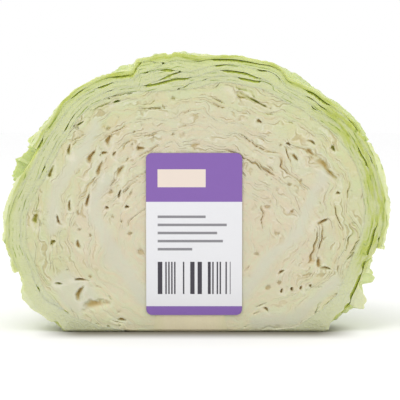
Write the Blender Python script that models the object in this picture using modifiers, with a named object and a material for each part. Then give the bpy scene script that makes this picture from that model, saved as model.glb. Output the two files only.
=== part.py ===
"""Half a savoy cabbage, cut lengthwise through the stalk and standing on its trimmed base.

Metres, +Z up. The knife's cut faces -Y and the back of the head is towards +Y. The origin is on the
table, in the middle of the footprint. Shapes are worked out in the head's own frame, where the cut is
the plane y = 0 and the stalk's axis is x = 0, and the empty half_cabbage carries them to their place.
"""

import math
from collections import namedtuple

import bmesh
import bpy
import numpy as np
from mathutils import Vector, noise

# The head, measured from the middle of its widest level.
HEAD_HALF_WIDTH = 0.0980
HEAD_DEPTH = 0.0935
HEAD_RISE = 0.0808
HEAD_DROP = 0.0735
WIDEST_LEVEL = 0.055
HEAD_SHIFT = Vector((0.0005, -0.0472, 0.0))

# Leaf blades and the air between one leaf and the next.
BLADE = 0.0012
LEAF_GAP = 0.0017
LEAF_PITCH = BLADE + LEAF_GAP
HEART_INSET = 0.0092
HEART_CLEARANCE = 0.0016
DRAPE = 0.024
VEIN_LEAN = 0.32
NET_HEIGHT = 0.0011
LEAF_ROWS = 22
LEAF_COLUMNS = 22
WAVE_HEIGHT = 0.0012
WAVE_SCALE = 3.2
LEAF_SOLVER = "MANIFOLD"  # EXACT loses the leaf whose midrib the knife splits

# The stalk, and the label on the cut.
STALK_CENTRE_X = -0.004
STALK_RADIUS = 0.019
STALK_TIP_RADIUS = 0.008
STALK_HEIGHT = 0.066
STALK_CLEARANCE = 0.0004
LABEL_WIDTH = 0.049
LABEL_HEIGHT = 0.083
LABEL_CENTRE = (-0.002, 0.0503)
LABEL_CORNER = 0.003
LABEL_THICKNESS = 0.0004
LABEL_GAP = 0.0003

# The gaps between the packed leaves of the heart, as the cut shows them.
DOME_SIDES = 64
DOME_RINGS = 22
HEART_RINGS = 14
GAP_DEPTH = 0.005
GAP_HALF_WIDTH = 0.00055
GAP_STEP = 0.0055
GAP_SEED = 11

Leaf = namedtuple("Leaf", "name azimuth base tip width rib ridge flare")

# From the innermost outwards. Azimuth runs from +X (right) through +Y (back), base and tip are angles
# above the widest level along the midrib, all in degrees. The midrib's height towards the heart (rib)
# and outwards (ridge) and the margin's flare are in metres.
LEAVES = (
    Leaf("leaf_1_right_rib", 1.5, -66, 96, 66, 0.0068, 0.0, 0.0),
    Leaf("leaf_2_left_back", 132, -66, 100, 66, 0.0, 0.0, 0.0),
    Leaf("leaf_3_right_back", 46, -62, 97, 66, 0.0, 0.0, 0.0040),
    Leaf("leaf_4_left_rib", 178.5, -64, 84, 60, 0.0055, 0.0, 0.0025),
    Leaf("leaf_5_right_edge", -38, -30, 99, 68, 0.0, 0.0, 0.0045),
    Leaf("leaf_6_left_edge", 222, -46, 80, 62, 0.0, 0.0, 0.0030),
    Leaf("leaf_7_back", 96, -64, 102, 66, 0.0, 0.0035, 0.0030),
)

# Dents and swellings of the head: azimuth, angle above the widest level, height, spread in degrees.
SWELLINGS = (
    (0, 34, 0.0030, 22),
    (0, 70, 0.0028, 16),
    (0, -10, -0.0025, 13),
    (0, -52, 0.0054, 18),
    (180, 26, -0.0030, 14),
    (180, 58, 0.0036, 17),
    (180, 82, -0.0030, 12),
    (180, -14, 0.0020, 20),
    (180, -44, 0.0064, 22),
    (60, 10, 0.0020, 25),
    (120, 25, -0.0020, 25),
)

# The wide ribs that the knife ran along: points (x, z) on the cut, and the rib's half width, in mm.
CUT_RIBS = (
    ((-28, 17), (-38, 34), (-47, 47), (-52, 58), (-52, 69), (-48, 79), 4.5),
    ((-75, 52), (-74, 68), (-67, 81), (-58, 93), (-51, 105), 4.0),
    ((-68, 24), (-66, 19), (-62, 17), (-60, 20), 8.0),
    ((24, 20), (38, 38), (52, 54), (59, 68), (62, 80), 4.0),
    ((30, 4), (48, 7), (62, 16), (70, 26), 4.0),
)

# The large hollows of the cut: centre x and z, length and width in mm, tilt in degrees.
CUT_HOLLOWS = (
    (-50.5, 84, 7.5, 2.8, 68), (-40, 82.5, 5.5, 2.8, 60), (-54, 90, 7, 2.8, 56), (-47.5, 91.3, 4, 1.8, 15),
    (-42.5, 91, 3, 1.6, 60), (-44.5, 98, 5.5, 2.6, 65), (-30, 93, 4.5, 2.2, 10), (-74, 82.5, 5.5, 1.7, 78),
    (-80, 84.5, 3, 1.6, 70), (-65.5, 92, 5.5, 1.8, 80), (-69, 101.5, 8, 1.0, 58), (-59.5, 107, 4.5, 1.2, 36),
    (-40.5, 117.5, 4.5, 1.3, 20), (-29, 125, 8, 1.4, 12), (17, 129, 8, 1.7, -24), (30, 118.5, 15, 1.4, -25),
    (32, 108.5, 2.5, 1.5, -20), (46.5, 96, 2.5, 1.4, -20), (49, 90, 5.5, 2.2, -42), (56.5, 91.5, 6, 2.4, -40),
    (65, 85.5, 8, 2.6, -55), (68.5, 93.5, 2.4, 2.2, -40), (57.5, 96.5, 4, 1.5, -30), (66, 106, 5, 1.1, -42),
    (71.5, 70.5, 2.5, 1.8, 0), (64, 56.5, 8, 1.6, 20), (48, 62.5, 3.2, 2.8, 70), (61.5, 36.5, 4.5, 2.6, 95),
    (65, 33.5, 5, 1.6, -10), (57.5, 23.5, 2.4, 2, -40), (52.5, 22, 2.4, 1.8, 70), (47.5, 21.5, 2.2, 1.5, 70),
    (42, 20.5, 2.2, 1.4, 70), (36, 11, 3, 1.6, -50), (44, 30.5, 3.6, 1.3, 20), (-83.5, 58, 8, 2.6, 75),
    (-46, 64.5, 2, 1.7, 0), (-36, 64.5, 2, 1.3, 0), (-56, 69.5, 6.5, 1.8, 80), (-65.5, 66, 4.5, 1.5, 85),
    (-61, 45, 4.5, 2.2, 100), (-72, 58, 4.5, 1.8, 110), (-60.5, 20.5, 8, 2.6, 62), (-51, 14.5, 9, 4.5, 15),
    (-71, 24.5, 4.5, 1.3, 0), (-39, 6.5, 4.5, 1.8, -10), (-59.5, 27, 6, 1.0, 0), (-74.5, 45.5, 3.5, 1.8, 20),
    (-40, 71.5, 3.5, 1.2, 80),
)

COLOURS = {
    "outer_leaf": ((0.56, 0.66, 0.23, 1.0), 0.50),
    "inner_leaf": ((0.64, 0.68, 0.38, 1.0), 0.52),
    "heart": ((0.70, 0.66, 0.46, 1.0), 0.55),
    "stalk": ((0.66, 0.60, 0.42, 1.0), 0.50),
    "label_paper": ((0.84, 0.84, 0.86, 1.0), 0.45),
}


def clear_scene():
    """Remove the objects that a new file holds."""
    for obj in list(bpy.data.objects):
        bpy.data.objects.remove(obj)


def make_material(name):
    """A Principled BSDF with the part's colour and roughness."""
    colour, roughness = COLOURS[name]
    material = bpy.data.materials.new(name)
    material.use_nodes = True
    shader = material.node_tree.nodes["Principled BSDF"]
    shader.inputs["Base Color"].default_value = colour
    shader.inputs["Roughness"].default_value = roughness
    shader.inputs["Metallic"].default_value = 0.0
    return material


def make_collection(name):
    collection = bpy.data.collections.new(name)
    bpy.context.scene.collection.children.link(collection)
    return collection


def smoothstep(value):
    value = np.clip(value, 0.0, 1.0)
    return value * value * (3.0 - 2.0 * value)


def direction_of(azimuth, elevation):
    """Unit directions from angles in degrees."""
    a = np.radians(azimuth)
    e = np.radians(elevation)
    return np.stack([np.cos(e) * np.cos(a), np.cos(e) * np.sin(a), np.sin(e) + 0 * a], axis=-1)


def head_point(direction, height):
    """Points of the head's surface in these unit directions, raised by height."""
    rise = np.where(direction[:, 2] > 0, HEAD_RISE, HEAD_DROP)
    reach = np.stack([HEAD_HALF_WIDTH + height, HEAD_DEPTH + height, rise + height], axis=1)
    return direction * reach + np.array([0.0, 0.0, WIDEST_LEVEL])


def swelling(direction):
    """The head's own dents, swellings and low waves, which every leaf follows."""
    total = np.array([noise.noise(Vector(d) * WAVE_SCALE) for d in direction]) * WAVE_HEIGHT
    for azimuth, elevation, height, spread in SWELLINGS:
        away = np.arccos(np.clip(direction @ direction_of(azimuth, elevation), -1.0, 1.0))
        total += height * np.exp(-((away / math.radians(spread)) ** 2))
    return total


def leaf_axes(leaf):
    """The leaf's outward and sideways directions at the widest level."""
    a = math.radians(leaf.azimuth)
    return np.array([math.cos(a), math.sin(a), 0.0]), np.array([-math.sin(a), math.cos(a), 0.0])


def leaf_half_width(leaf, share):
    """Half the leaf's width, as an angle, at a share of its length from base to tip."""
    widest_at = 0.50
    below = np.abs(share - widest_at) / 0.55
    above = np.abs(share - widest_at) / 0.515
    spread = np.where(share < widest_at, below, above)
    return math.radians(leaf.width) * np.sqrt(np.clip(1.0 - spread**2.4, 0.0, 1.0))


def leaf_place(leaf, direction):
    """For unit directions, the angle across the leaf and the share of its length."""
    outward, sideways = leaf_axes(leaf)
    across = np.arcsin(np.clip(direction @ sideways, -1.0, 1.0))
    along = np.arctan2(direction[:, 2], direction @ outward) - VEIN_LEAN * np.abs(across)
    share = (np.degrees(along) - leaf.base) / (leaf.tip - leaf.base)
    return across, share


def leaf_cover(leaf, direction):
    """1 where the leaf lies, falling to 0 over the drape outside its margin."""
    across, share = leaf_place(leaf, direction)
    length = math.radians(leaf.tip - leaf.base)
    inside = np.minimum(leaf_half_width(leaf, share) - np.abs(across), share * length)
    inside = np.minimum(inside, (1.0 - share) * length)
    return smoothstep(1.0 + inside * HEAD_HALF_WIDTH / DRAPE)


def leaf_rib(leaf, direction, height):
    """The midrib's height over the blade, thick at the base and fading to the tip."""
    across, share = leaf_place(leaf, direction)
    fade = np.clip(1.0 - share, 0.0, 1.1)
    spread = (0.0090 + 0.0090 * fade) / HEAD_HALF_WIDTH
    return height * fade**1.1 * smoothstep(1.0 + share / 0.2) * np.exp(-((across / spread) ** 2))


def height_under(direction, order):
    """Height of the inner face of leaf number order, where each leaf lies on those inside it."""
    total = swelling(direction) - HEART_INSET
    for inner in LEAVES[:order]:
        total += leaf_cover(inner, direction) * LEAF_PITCH
    for outer in LEAVES[order:]:
        total -= leaf_rib(outer, direction, outer.rib)
    return total


def leaf_shell(leaf, order):
    """One leaf as a closed shell: a grid bent over the head for its inner face, extruded outwards."""
    bm = bmesh.new()
    bmesh.ops.create_grid(bm, x_segments=LEAF_COLUMNS, y_segments=LEAF_ROWS, size=1.0)
    flat = np.array([v.co for v in bm.verts])
    column = np.rint((flat[:, 0] + 1.0) / 2.0 * LEAF_COLUMNS)
    row = np.rint((flat[:, 1] + 1.0) / 2.0 * LEAF_ROWS)
    side = np.sign(flat[:, 0]) * np.abs(flat[:, 0]) ** 1.15
    share = (flat[:, 1] + 1.0) / 2.0

    ripple = 1.0 + 0.035 * np.sin(17.0 * share + order) * np.abs(side) ** 3
    across = side * leaf_half_width(leaf, share) * ripple
    along = np.radians(leaf.base + share * (leaf.tip - leaf.base)) + VEIN_LEAN * np.abs(across)
    outward, sideways = leaf_axes(leaf)
    upright = np.array([0.0, 0.0, 1.0])
    direction = (
        np.outer(np.cos(across) * np.cos(along), outward)
        + np.outer(np.cos(across) * np.sin(along), upright)
        + np.outer(np.sin(across), sideways)
    )

    bare = np.ones(len(direction))
    for outer in LEAVES[order + 1:]:
        bare = np.minimum(bare, 1.0 - leaf_cover(outer, direction))
    veins = 0.55 * np.where(row % 2 == 0, 1.0, -0.6) + 0.45 * np.where(column % 2 == 0, 1.0, -0.6)
    ribless = np.abs(side) > 0.05
    lift = bare * NET_HEIGHT * (1.0 + veins * ribless)
    lift += bare * leaf.flare * np.abs(side) ** 5 * (0.65 + 0.35 * np.sin(13.0 * share + 2.0 * order))

    inner = height_under(direction, order) + lift
    thickness = BLADE + leaf_rib(leaf, direction, leaf.rib) + leaf_rib(leaf, direction, leaf.ridge)
    place = bm.verts.layers.int.new("place")
    for index, (vertex, point) in enumerate(zip(bm.verts, head_point(direction, inner))):
        vertex.co = point
        vertex[place] = index
    bmesh.ops.triangulate(bm, faces=bm.faces, quad_method="FIXED")
    grown = bmesh.ops.extrude_face_region(bm, geom=bm.faces[:], use_keep_orig=True)
    outer_face = head_point(direction, inner + thickness)
    for vertex in grown["geom"]:
        if isinstance(vertex, bmesh.types.BMVert):
            vertex.co = outer_face[vertex[place]]
    bmesh.ops.recalc_face_normals(bm, faces=bm.faces)
    if bm.calc_volume(signed=True) < 0:
        bmesh.ops.reverse_faces(bm, faces=bm.faces)
    mesh = bpy.data.meshes.new(leaf.name)
    bm.to_mesh(mesh)
    bm.free()
    return mesh


def cut_away(obj, cutters, solver="EXACT"):
    """Take each cutter out of a solid."""
    for cutter in cutters:
        cut = obj.modifiers.new(cutter.name, "BOOLEAN")
        cut.operation = "DIFFERENCE"
        cut.solver = solver
        cut.object = cutter


def add_part(name, mesh, material, collection, parent):
    """Link a mesh as a named sub-part, in the head's frame."""
    obj = bpy.data.objects.new(name, mesh)
    obj.parent = parent
    mesh.materials.clear()
    mesh.materials.append(material)
    collection.objects.link(obj)
    return obj


def make_cutter(name, mesh, collection, parent):
    obj = bpy.data.objects.new(name, mesh)
    obj.parent = parent
    obj.hide_render = True
    obj.display_type = "WIRE"
    collection.objects.link(obj)
    return obj


def box_mesh(name, low, high):
    """A box between two corners, from a unit cube."""
    bm = bmesh.new()
    bmesh.ops.create_cube(bm, size=1.0)
    low, high = Vector(low), Vector(high)
    for vertex in bm.verts:
        vertex.co = (low + high) / 2 + vertex.co * (high - low)
    mesh = bpy.data.meshes.new(name)
    bm.to_mesh(mesh)
    bm.free()
    return mesh


def mesh_of_curve(curve, name, matrix):
    """A closed mesh from a flat or bevelled curve, with its caps welded."""
    holder = bpy.data.objects.new(name, curve)
    bpy.context.scene.collection.objects.link(holder)
    holder.matrix_world = matrix
    bpy.context.view_layer.update()
    evaluated = holder.evaluated_get(bpy.context.evaluated_depsgraph_get())
    mesh = bpy.data.meshes.new_from_object(evaluated)
    mesh.name = name
    mesh.transform(matrix)
    bm = bmesh.new()
    bm.from_mesh(mesh)
    bmesh.ops.remove_doubles(bm, verts=bm.verts, dist=1e-6)
    bmesh.ops.recalc_face_normals(bm, faces=bm.faces)
    bm.to_mesh(mesh)
    bm.free()
    bpy.data.objects.remove(holder)
    return mesh


def upright_outlines(name, outlines, front, back):
    """Closed outlines of (x, z) points, extruded from y = front to y = back as one closed mesh."""
    curve = bpy.data.curves.new(name, "CURVE")
    curve.dimensions = "2D"
    curve.fill_mode = "BOTH"
    curve.extrude = abs(back - front) / 2
    for outline in outlines:
        spline = curve.splines.new("POLY")
        spline.points.add(len(outline) - 1)
        for point, (x, z) in zip(spline.points, outline):
            point.co = (x, z, 0.0, 1.0)
        spline.use_cyclic_u = True
    middle = (front + back) / 2
    stand_up = bpy.data.objects.new("stand_up", None)
    stand_up.rotation_euler = (math.pi / 2, 0.0, 0.0)
    stand_up.location = (0.0, middle, 0.0)
    matrix = stand_up.matrix_basis.copy()
    bpy.data.objects.remove(stand_up)
    return mesh_of_curve(curve, name, matrix)


def distance_to_path(point, path):
    """The distance from a point to a path of straight runs, on the cut."""
    point = Vector(point)
    nearest = float("inf")
    for start, end in zip(path[:-1], path[1:]):
        start, end = Vector(start), Vector(end)
        share = (point - start).dot(end - start) / (end - start).length_squared
        nearest = min(nearest, (point - start.lerp(end, min(max(share, 0.0), 1.0))).length)
    return nearest


def heart_ring_point(share, angle):
    """A point (x, z) on the cut, at a share of the heart's reach, pushed about as crinkled leaves are."""
    rise = HEAD_RISE if math.sin(angle) > 0 else HEAD_DROP
    x = share * (HEAD_HALF_WIDTH - HEART_INSET) * math.cos(angle)
    z = WIDEST_LEVEL + share * (rise - HEART_INSET) * math.sin(angle)
    broad = noise.noise_vector(Vector((x, z, 0.0)) * 38.0)
    fine = noise.noise_vector(Vector((x, z, 0.05)) * 110.0)
    push = broad * 0.0030 + fine * 0.0011
    return x + push.x, z + push.y


def slit_outline(points, half_width):
    """A long lens round a line of points: widest in the middle and closed at both ends."""
    last = len(points) - 1
    left, right = [], []
    for index, (x, z) in enumerate(points):
        before, after = points[max(index - 1, 0)], points[min(index + 1, last)]
        run = Vector((after[0] - before[0], after[1] - before[1])).normalized()
        swell = half_width * math.sin(math.pi * index / last) ** 0.6
        if index in (0, last):
            left.append((x, z))
            continue
        left.append((x - run.y * swell, z + run.x * swell))
        right.append((x + run.y * swell, z - run.x * swell))
    return left + right[::-1]


def hollow_outline(x, z, length, width, tilt, sides=8):
    """An oval hollow on the cut, pointed towards one end."""
    outline = []
    for index in range(sides):
        angle = 2.0 * math.pi * index / sides
        along = length / 2 * math.cos(angle)
        across = width / 2 * math.sin(angle) * (1.0 - 0.35 * math.cos(angle))
        turn = math.radians(tilt)
        outline.append((
            (x + along * math.cos(turn) - across * math.sin(turn)) / 1000,
            (z + along * math.sin(turn) + across * math.cos(turn)) / 1000,
        ))
    return outline


def open_place(x, z):
    """Whether packed leaves, and so gaps, show here: off the stalk, the wide ribs and the hollows."""
    if z < 0.0035 or (abs(x - STALK_CENTRE_X) < STALK_RADIUS + 0.002 and z < STALK_HEIGHT + 0.003):
        return False
    here = (x * 1000, z * 1000)
    if any(distance_to_path(here, rib[:-1]) < rib[-1] + 0.8 for rib in CUT_RIBS):
        return False
    return all((Vector(here) - Vector(h[:2])).length > h[2] / 2 + 1.6 for h in CUT_HOLLOWS)


def heart_gap_outlines():
    """The slits between the heart's leaves: rings about the growing tip, broken at random."""
    draw = np.random.default_rng(GAP_SEED)
    outlines = []
    for ring in range(1, HEART_RINGS):
        share = ring / HEART_RINGS * 0.985
        step = GAP_STEP / (share * HEAD_HALF_WIDTH)
        angle = math.radians(-88) + draw.uniform(0.0, 0.3)
        while angle < math.radians(268):
            wanted = int(draw.integers(4, 9))
            run = []
            while len(run) < wanted:
                point = heart_ring_point(share + 0.004 * math.sin(angle * 3 + ring), angle)
                angle += step
                if not open_place(*point) or angle > math.radians(268):
                    break
                run.append(point)
            if len(run) >= 3:
                outlines.append(slit_outline(run, GAP_HALF_WIDTH * draw.uniform(0.8, 1.5)))
            angle += step * draw.uniform(0.3, 1.0)
    return outlines


def make_heart(material, collection, parent, cutters):
    """The packed heart: a half dome with the stalk's hollow and the gaps between its leaves.

    Its rings lie parallel to the cut and are closest there, where the leaves' ribs press into it.
    """
    bm = bmesh.new()
    bmesh.ops.create_uvsphere(bm, u_segments=DOME_SIDES, v_segments=DOME_RINGS, radius=1.0)
    ball = np.array([v.co.normalized() for v in bm.verts])
    back = np.arcsin(ball[:, 2]) * 2.0 / math.pi
    back = math.pi / 2.0 * np.sign(back) * np.abs(back) ** 1.5
    turn = np.arctan2(ball[:, 1], ball[:, 0])
    direction = np.stack([np.cos(back) * np.cos(turn), np.sin(back), np.cos(back) * np.sin(turn)], axis=1)
    depth = height_under(direction, 0) - HEART_CLEARANCE
    for vertex, point in zip(bm.verts, head_point(direction, depth)):
        vertex.co = point
    for normal in ((0.0, -1.0, 0.0), (0.0, 0.0, -1.0)):
        cut = bmesh.ops.bisect_plane(
            bm, geom=bm.verts[:] + bm.edges[:] + bm.faces[:], dist=1e-6,
            plane_co=(0.0, 0.0, 0.0), plane_no=normal, clear_outer=True,
        )
        edges = [e for e in cut["geom_cut"] if isinstance(e, bmesh.types.BMEdge)]
        bmesh.ops.edgeloop_fill(bm, edges=edges)
    bmesh.ops.recalc_face_normals(bm, faces=bm.faces)
    mesh = bpy.data.meshes.new("heart")
    bm.to_mesh(mesh)
    bm.free()
    obj = add_part("heart", mesh, material, collection, parent)
    cut_away(obj, cutters)
    return obj


def stalk_profile(grow=0.0):
    """The stalk's side from tip to base, as (radius, height), made larger by grow."""
    base = -0.002 if grow else 0.0
    profile = [(0.0, STALK_HEIGHT + grow)]
    for step in range(1, 5):
        turn = math.pi / 2 * step / 4
        radius = (STALK_TIP_RADIUS + grow) * math.sin(turn)
        profile.append((radius, STALK_HEIGHT - STALK_TIP_RADIUS + (STALK_TIP_RADIUS + grow) * math.cos(turn)))
    profile.append((STALK_RADIUS * 0.72 + grow, STALK_HEIGHT * 0.42))
    profile.append((STALK_RADIUS * 0.92 + grow, STALK_HEIGHT * 0.14))
    profile.append((STALK_RADIUS + grow, base))
    profile.append((0.0, base))
    return profile


def turned_mesh(name, profile, centre_x, segments):
    """A closed turned solid round a vertical axis, made by a Screw modifier."""
    mesh = bpy.data.meshes.new(name)
    mesh.from_pydata([(r, 0.0, z) for r, z in profile], [(i, i + 1) for i in range(len(profile) - 1)], [])
    holder = bpy.data.objects.new(name, mesh)
    bpy.context.scene.collection.objects.link(holder)
    screw = holder.modifiers.new("turn", "SCREW")
    screw.steps = segments
    screw.render_steps = segments
    screw.use_merge_vertices = True
    screw.merge_threshold = 1e-5
    bpy.context.view_layer.update()
    evaluated = holder.evaluated_get(bpy.context.evaluated_depsgraph_get())
    turned = bpy.data.meshes.new_from_object(evaluated)
    bpy.data.objects.remove(holder)
    bm = bmesh.new()
    bm.from_mesh(turned)
    bmesh.ops.translate(bm, verts=bm.verts, vec=(centre_x, 0.0, 0.0))
    bmesh.ops.recalc_face_normals(bm, faces=bm.faces)
    bm.to_mesh(turned)
    bm.free()
    turned.name = name
    return turned


def rounded_rectangle(width, height, corner, centre, steps=4):
    """The outline of a rectangle with round corners."""
    outline = []
    for quarter, (sx, sz) in enumerate(((1, 1), (-1, 1), (-1, -1), (1, -1))):
        middle = (centre[0] + sx * (width / 2 - corner), centre[1] + sz * (height / 2 - corner))
        for step in range(steps + 1):
            angle = math.pi / 2 * (quarter + step / steps)
            outline.append((middle[0] + corner * math.cos(angle), middle[1] + corner * math.sin(angle)))
    return outline


def shade(obj):
    """Smooth shading, with the cut edges kept sharp."""
    obj.data.shade_smooth()
    obj.data.set_sharp_from_angle(angle=math.radians(35))


def main():
    clear_scene()
    parts = make_collection("half_savoy_cabbage")
    tools = make_collection("cutters")
    materials = {name: make_material(name) for name in COLOURS}
    parent = bpy.data.objects.new("half_cabbage", None)
    parent.location = HEAD_SHIFT
    parts.objects.link(parent)

    knife = make_cutter("knife", box_mesh("knife", (-0.2, -0.2, -0.1), (0.2, 0.0, 0.3)), tools, parent)
    board = make_cutter("board", box_mesh("board", (-0.2, -0.1, -0.1), (0.2, 0.2, 0.0)), tools, parent)
    socket_mesh = turned_mesh("stalk_socket", stalk_profile(STALK_CLEARANCE), STALK_CENTRE_X, 24)
    socket = make_cutter("stalk_socket", socket_mesh, tools, parent)
    hollows = [hollow_outline(*hollow) for hollow in CUT_HOLLOWS]
    gaps_mesh = upright_outlines("leaf_gaps", heart_gap_outlines() + hollows, -0.001, GAP_DEPTH)
    gaps = make_cutter("leaf_gaps", gaps_mesh, tools, parent)

    heart = make_heart(materials["heart"], parts, parent, (socket, gaps))
    shade(heart)
    stalk_mesh = turned_mesh("stalk", stalk_profile(), STALK_CENTRE_X, 24)
    stalk = add_part("stalk", stalk_mesh, materials["stalk"], parts, parent)
    cut_away(stalk, (knife,))
    shade(stalk)

    for order, leaf in enumerate(LEAVES):
        material = materials["inner_leaf" if order < 2 else "outer_leaf"]
        piece = add_part(leaf.name, leaf_shell(leaf, order), material, parts, parent)
        cut_away(piece, (knife, board), LEAF_SOLVER)
        shade(piece)

    outline = rounded_rectangle(LABEL_WIDTH, LABEL_HEIGHT, LABEL_CORNER, LABEL_CENTRE)
    label_mesh = upright_outlines("label", [outline], -LABEL_GAP - LABEL_THICKNESS, -LABEL_GAP)
    add_part("label", label_mesh, materials["label_paper"], parts, parent)


main()
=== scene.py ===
"""Looks of half a savoy cabbage, cut lengthwise, standing on its trimmed base with a plain label on the cut.

Lengths are in metres unless a name ends in _mm. Shapes are worked out in the head's own frame, where the
cut is the plane y = 0 and the head's axis is x = 0, and are then carried to where the frame's stalk is.
"""

import math
from collections import namedtuple
from contextlib import contextmanager
from itertools import product

import bpy
import numpy as np
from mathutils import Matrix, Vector, noise


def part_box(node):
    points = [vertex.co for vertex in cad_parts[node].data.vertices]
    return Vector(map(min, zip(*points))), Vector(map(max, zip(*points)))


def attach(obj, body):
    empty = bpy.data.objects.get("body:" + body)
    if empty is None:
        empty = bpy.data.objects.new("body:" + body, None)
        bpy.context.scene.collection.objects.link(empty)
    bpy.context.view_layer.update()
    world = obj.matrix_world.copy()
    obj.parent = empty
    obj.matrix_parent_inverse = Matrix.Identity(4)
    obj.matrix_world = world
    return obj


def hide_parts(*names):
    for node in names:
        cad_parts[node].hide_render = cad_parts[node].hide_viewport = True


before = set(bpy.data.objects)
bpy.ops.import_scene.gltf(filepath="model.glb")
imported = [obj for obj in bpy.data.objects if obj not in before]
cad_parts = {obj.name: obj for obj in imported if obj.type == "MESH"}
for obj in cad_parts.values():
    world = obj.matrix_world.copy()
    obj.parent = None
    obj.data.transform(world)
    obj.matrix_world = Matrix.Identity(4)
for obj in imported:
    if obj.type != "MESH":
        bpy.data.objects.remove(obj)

bl_info = {
    "name": "Half Savoy Cabbage",
    "version": (1, 0, 0),
    "blender": (4, 5, 0),
    "location": "View3D > Sidebar > Cabbage",
    "description": "Builds the leaves, the cut heart, the stalk, the label and the studio of half a cabbage",
    "category": "Add Mesh",
}

# The cut's lower edge is taken off by this much.
LOWER_EDGE = 0.0012

# The stalk's axis stands this far to the left of the head's.
STALK_OFFSET = -0.004
STALK_LOW, STALK_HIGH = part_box("stalk")
LABEL_LOW, LABEL_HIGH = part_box("label")
HEAD_PLACE = Vector(((STALK_LOW.x + STALK_HIGH.x) / 2 - STALK_OFFSET, STALK_LOW.y, STALK_LOW.z))
CUT_Y = HEAD_PLACE.y

# Turn on the cut, from straight up to the right, where the green leaves bunch up.
BUNCH_AROUND = 0.9

# How much a leaf's cross lines lean towards its tip, for each unit of the angle across it.
VEIN_LEAN = 0.32

# The leaves, from the innermost outwards, as the frame has them. Angles in degrees, heights in metres.
Leaf = namedtuple("Leaf", "name azimuth base tip width rib ridge flare")
LEAVES = (
    Leaf("leaf_1_right_rib", 1.5, -66, 96, 66, 0.0068, 0.0, 0.0),
    Leaf("leaf_2_left_back", 132, -66, 100, 66, 0.0, 0.0, 0.0),
    Leaf("leaf_3_right_back", 46, -62, 97, 66, 0.0, 0.0, 0.0040),
    Leaf("leaf_4_left_rib", 178.5, -64, 84, 60, 0.0055, 0.0, 0.0025),
    Leaf("leaf_5_right_edge", -38, -30, 99, 68, 0.0, 0.0, 0.0045),
    Leaf("leaf_6_left_edge", 222, -46, 80, 62, 0.0, 0.0, 0.0030),
    Leaf("leaf_7_back", 96, -64, 102, 66, 0.0, 0.0035, 0.0030),
)

# The first leaves have the paler finish of the inner ones.
INNER_LEAVES = 2

# Dents and swellings of the head: azimuth, angle above the widest level, height, spread in degrees.
SWELLINGS = (
    (0, 34, 0.0030, 22),
    (0, 70, 0.0028, 16),
    (0, -10, -0.0025, 13),
    (0, -52, 0.0054, 18),
    (180, 26, -0.0030, 14),
    (180, 58, 0.0036, 17),
    (180, 82, -0.0030, 12),
    (180, -14, 0.0020, 20),
    (180, -44, 0.0064, 22),
    (60, 10, 0.0020, 25),
    (120, 25, -0.0020, 25),
)

# Height of the growing tip on the cut, from which the nested leaves spread.
TIP_LEVEL_MM = 40.0

# The wide ribs that the knife ran along: points (x, z) on the cut, and the rib's half width, in mm.
CUT_RIBS = (
    ((-28, 17), (-38, 34), (-47, 47), (-52, 58), (-52, 69), (-48, 79), 4.5),
    ((-75, 52), (-74, 68), (-67, 81), (-58, 93), (-51, 105), 4.0),
    ((-68, 24), (-66, 19), (-62, 17), (-60, 20), 8.0),
    ((24, 20), (38, 38), (52, 54), (59, 68), (62, 80), 4.0),
    ((30, 4), (48, 7), (62, 16), (70, 26), 4.0),
)

# The large hollows of the cut: centre x and z, length and width in mm, tilt in degrees.
CUT_HOLLOWS = (
    (-50.5, 84, 7.5, 2.8, 68), (-40, 82.5, 5.5, 2.8, 60), (-54, 90, 7, 2.8, 56),
    (-47.5, 91.3, 4, 1.8, 15), (-42.5, 91, 3, 1.6, 60), (-44.5, 98, 5.5, 2.6, 65),
    (-30, 93, 4.5, 2.2, 10), (-74, 82.5, 5.5, 1.7, 78), (-80, 84.5, 3, 1.6, 70),
    (-65.5, 92, 5.5, 1.8, 80), (-69, 101.5, 8, 1.0, 58), (-59.5, 107, 4.5, 1.2, 36),
    (-40.5, 117.5, 4.5, 1.3, 20), (-29, 125, 8, 1.4, 12), (17, 129, 8, 1.7, -24),
    (30, 118.5, 15, 1.4, -25), (32, 108.5, 2.5, 1.5, -20), (46.5, 96, 2.5, 1.4, -20),
    (49, 90, 5.5, 2.2, -42), (56.5, 91.5, 6, 2.4, -40), (63.5, 84, 16, 4.0, -45),
    (68.5, 93.5, 2.4, 2.2, -40), (57.5, 96.5, 4, 1.5, -30), (66, 106, 5, 1.1, -42),
    (71.5, 70.5, 2.5, 1.8, 0), (64, 56.5, 8, 1.6, 20), (48, 62.5, 3.2, 2.8, 70),
    (61.5, 36.5, 4.5, 2.6, 95), (65, 33.5, 5, 1.6, -10), (57.5, 23.5, 2.4, 2.0, -40),
    (52.5, 22, 2.4, 1.8, 70), (47.5, 21.5, 2.2, 1.5, 70), (42, 20.5, 2.2, 1.4, 70),
    (36, 11, 3, 1.6, -50), (44, 30.5, 3.6, 1.3, 20), (-83.5, 58, 8, 2.6, 75), (-46, 64.5, 2, 1.7, 0),
    (-36, 64.5, 2, 1.3, 0), (-56, 69.5, 6.5, 1.8, 80), (-65.5, 66, 4.5, 1.5, 85),
    (-61, 45, 4.5, 2.2, 100), (-72, 58, 4.5, 1.8, 110), (-60.5, 20.5, 8, 2.6, 62),
    (-53, 14, 12, 5.5, 15), (-71, 24.5, 4.5, 1.3, 0), (-39, 6.5, 4.5, 1.8, -10), (-59.5, 27, 6, 1.0, 0),
    (-74.5, 45.5, 3.5, 1.8, 20), (-40, 71.5, 3.5, 1.2, 80),
)


def paint(red, green, blue):
    """A scene colour from the 0 to 255 values of a screen colour."""
    def linear(value):
        share = value / 255.0
        return share / 12.92 if share <= 0.04045 else ((share + 0.055) / 1.055) ** 2.4
    return linear(red), linear(green), linear(blue)


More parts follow.
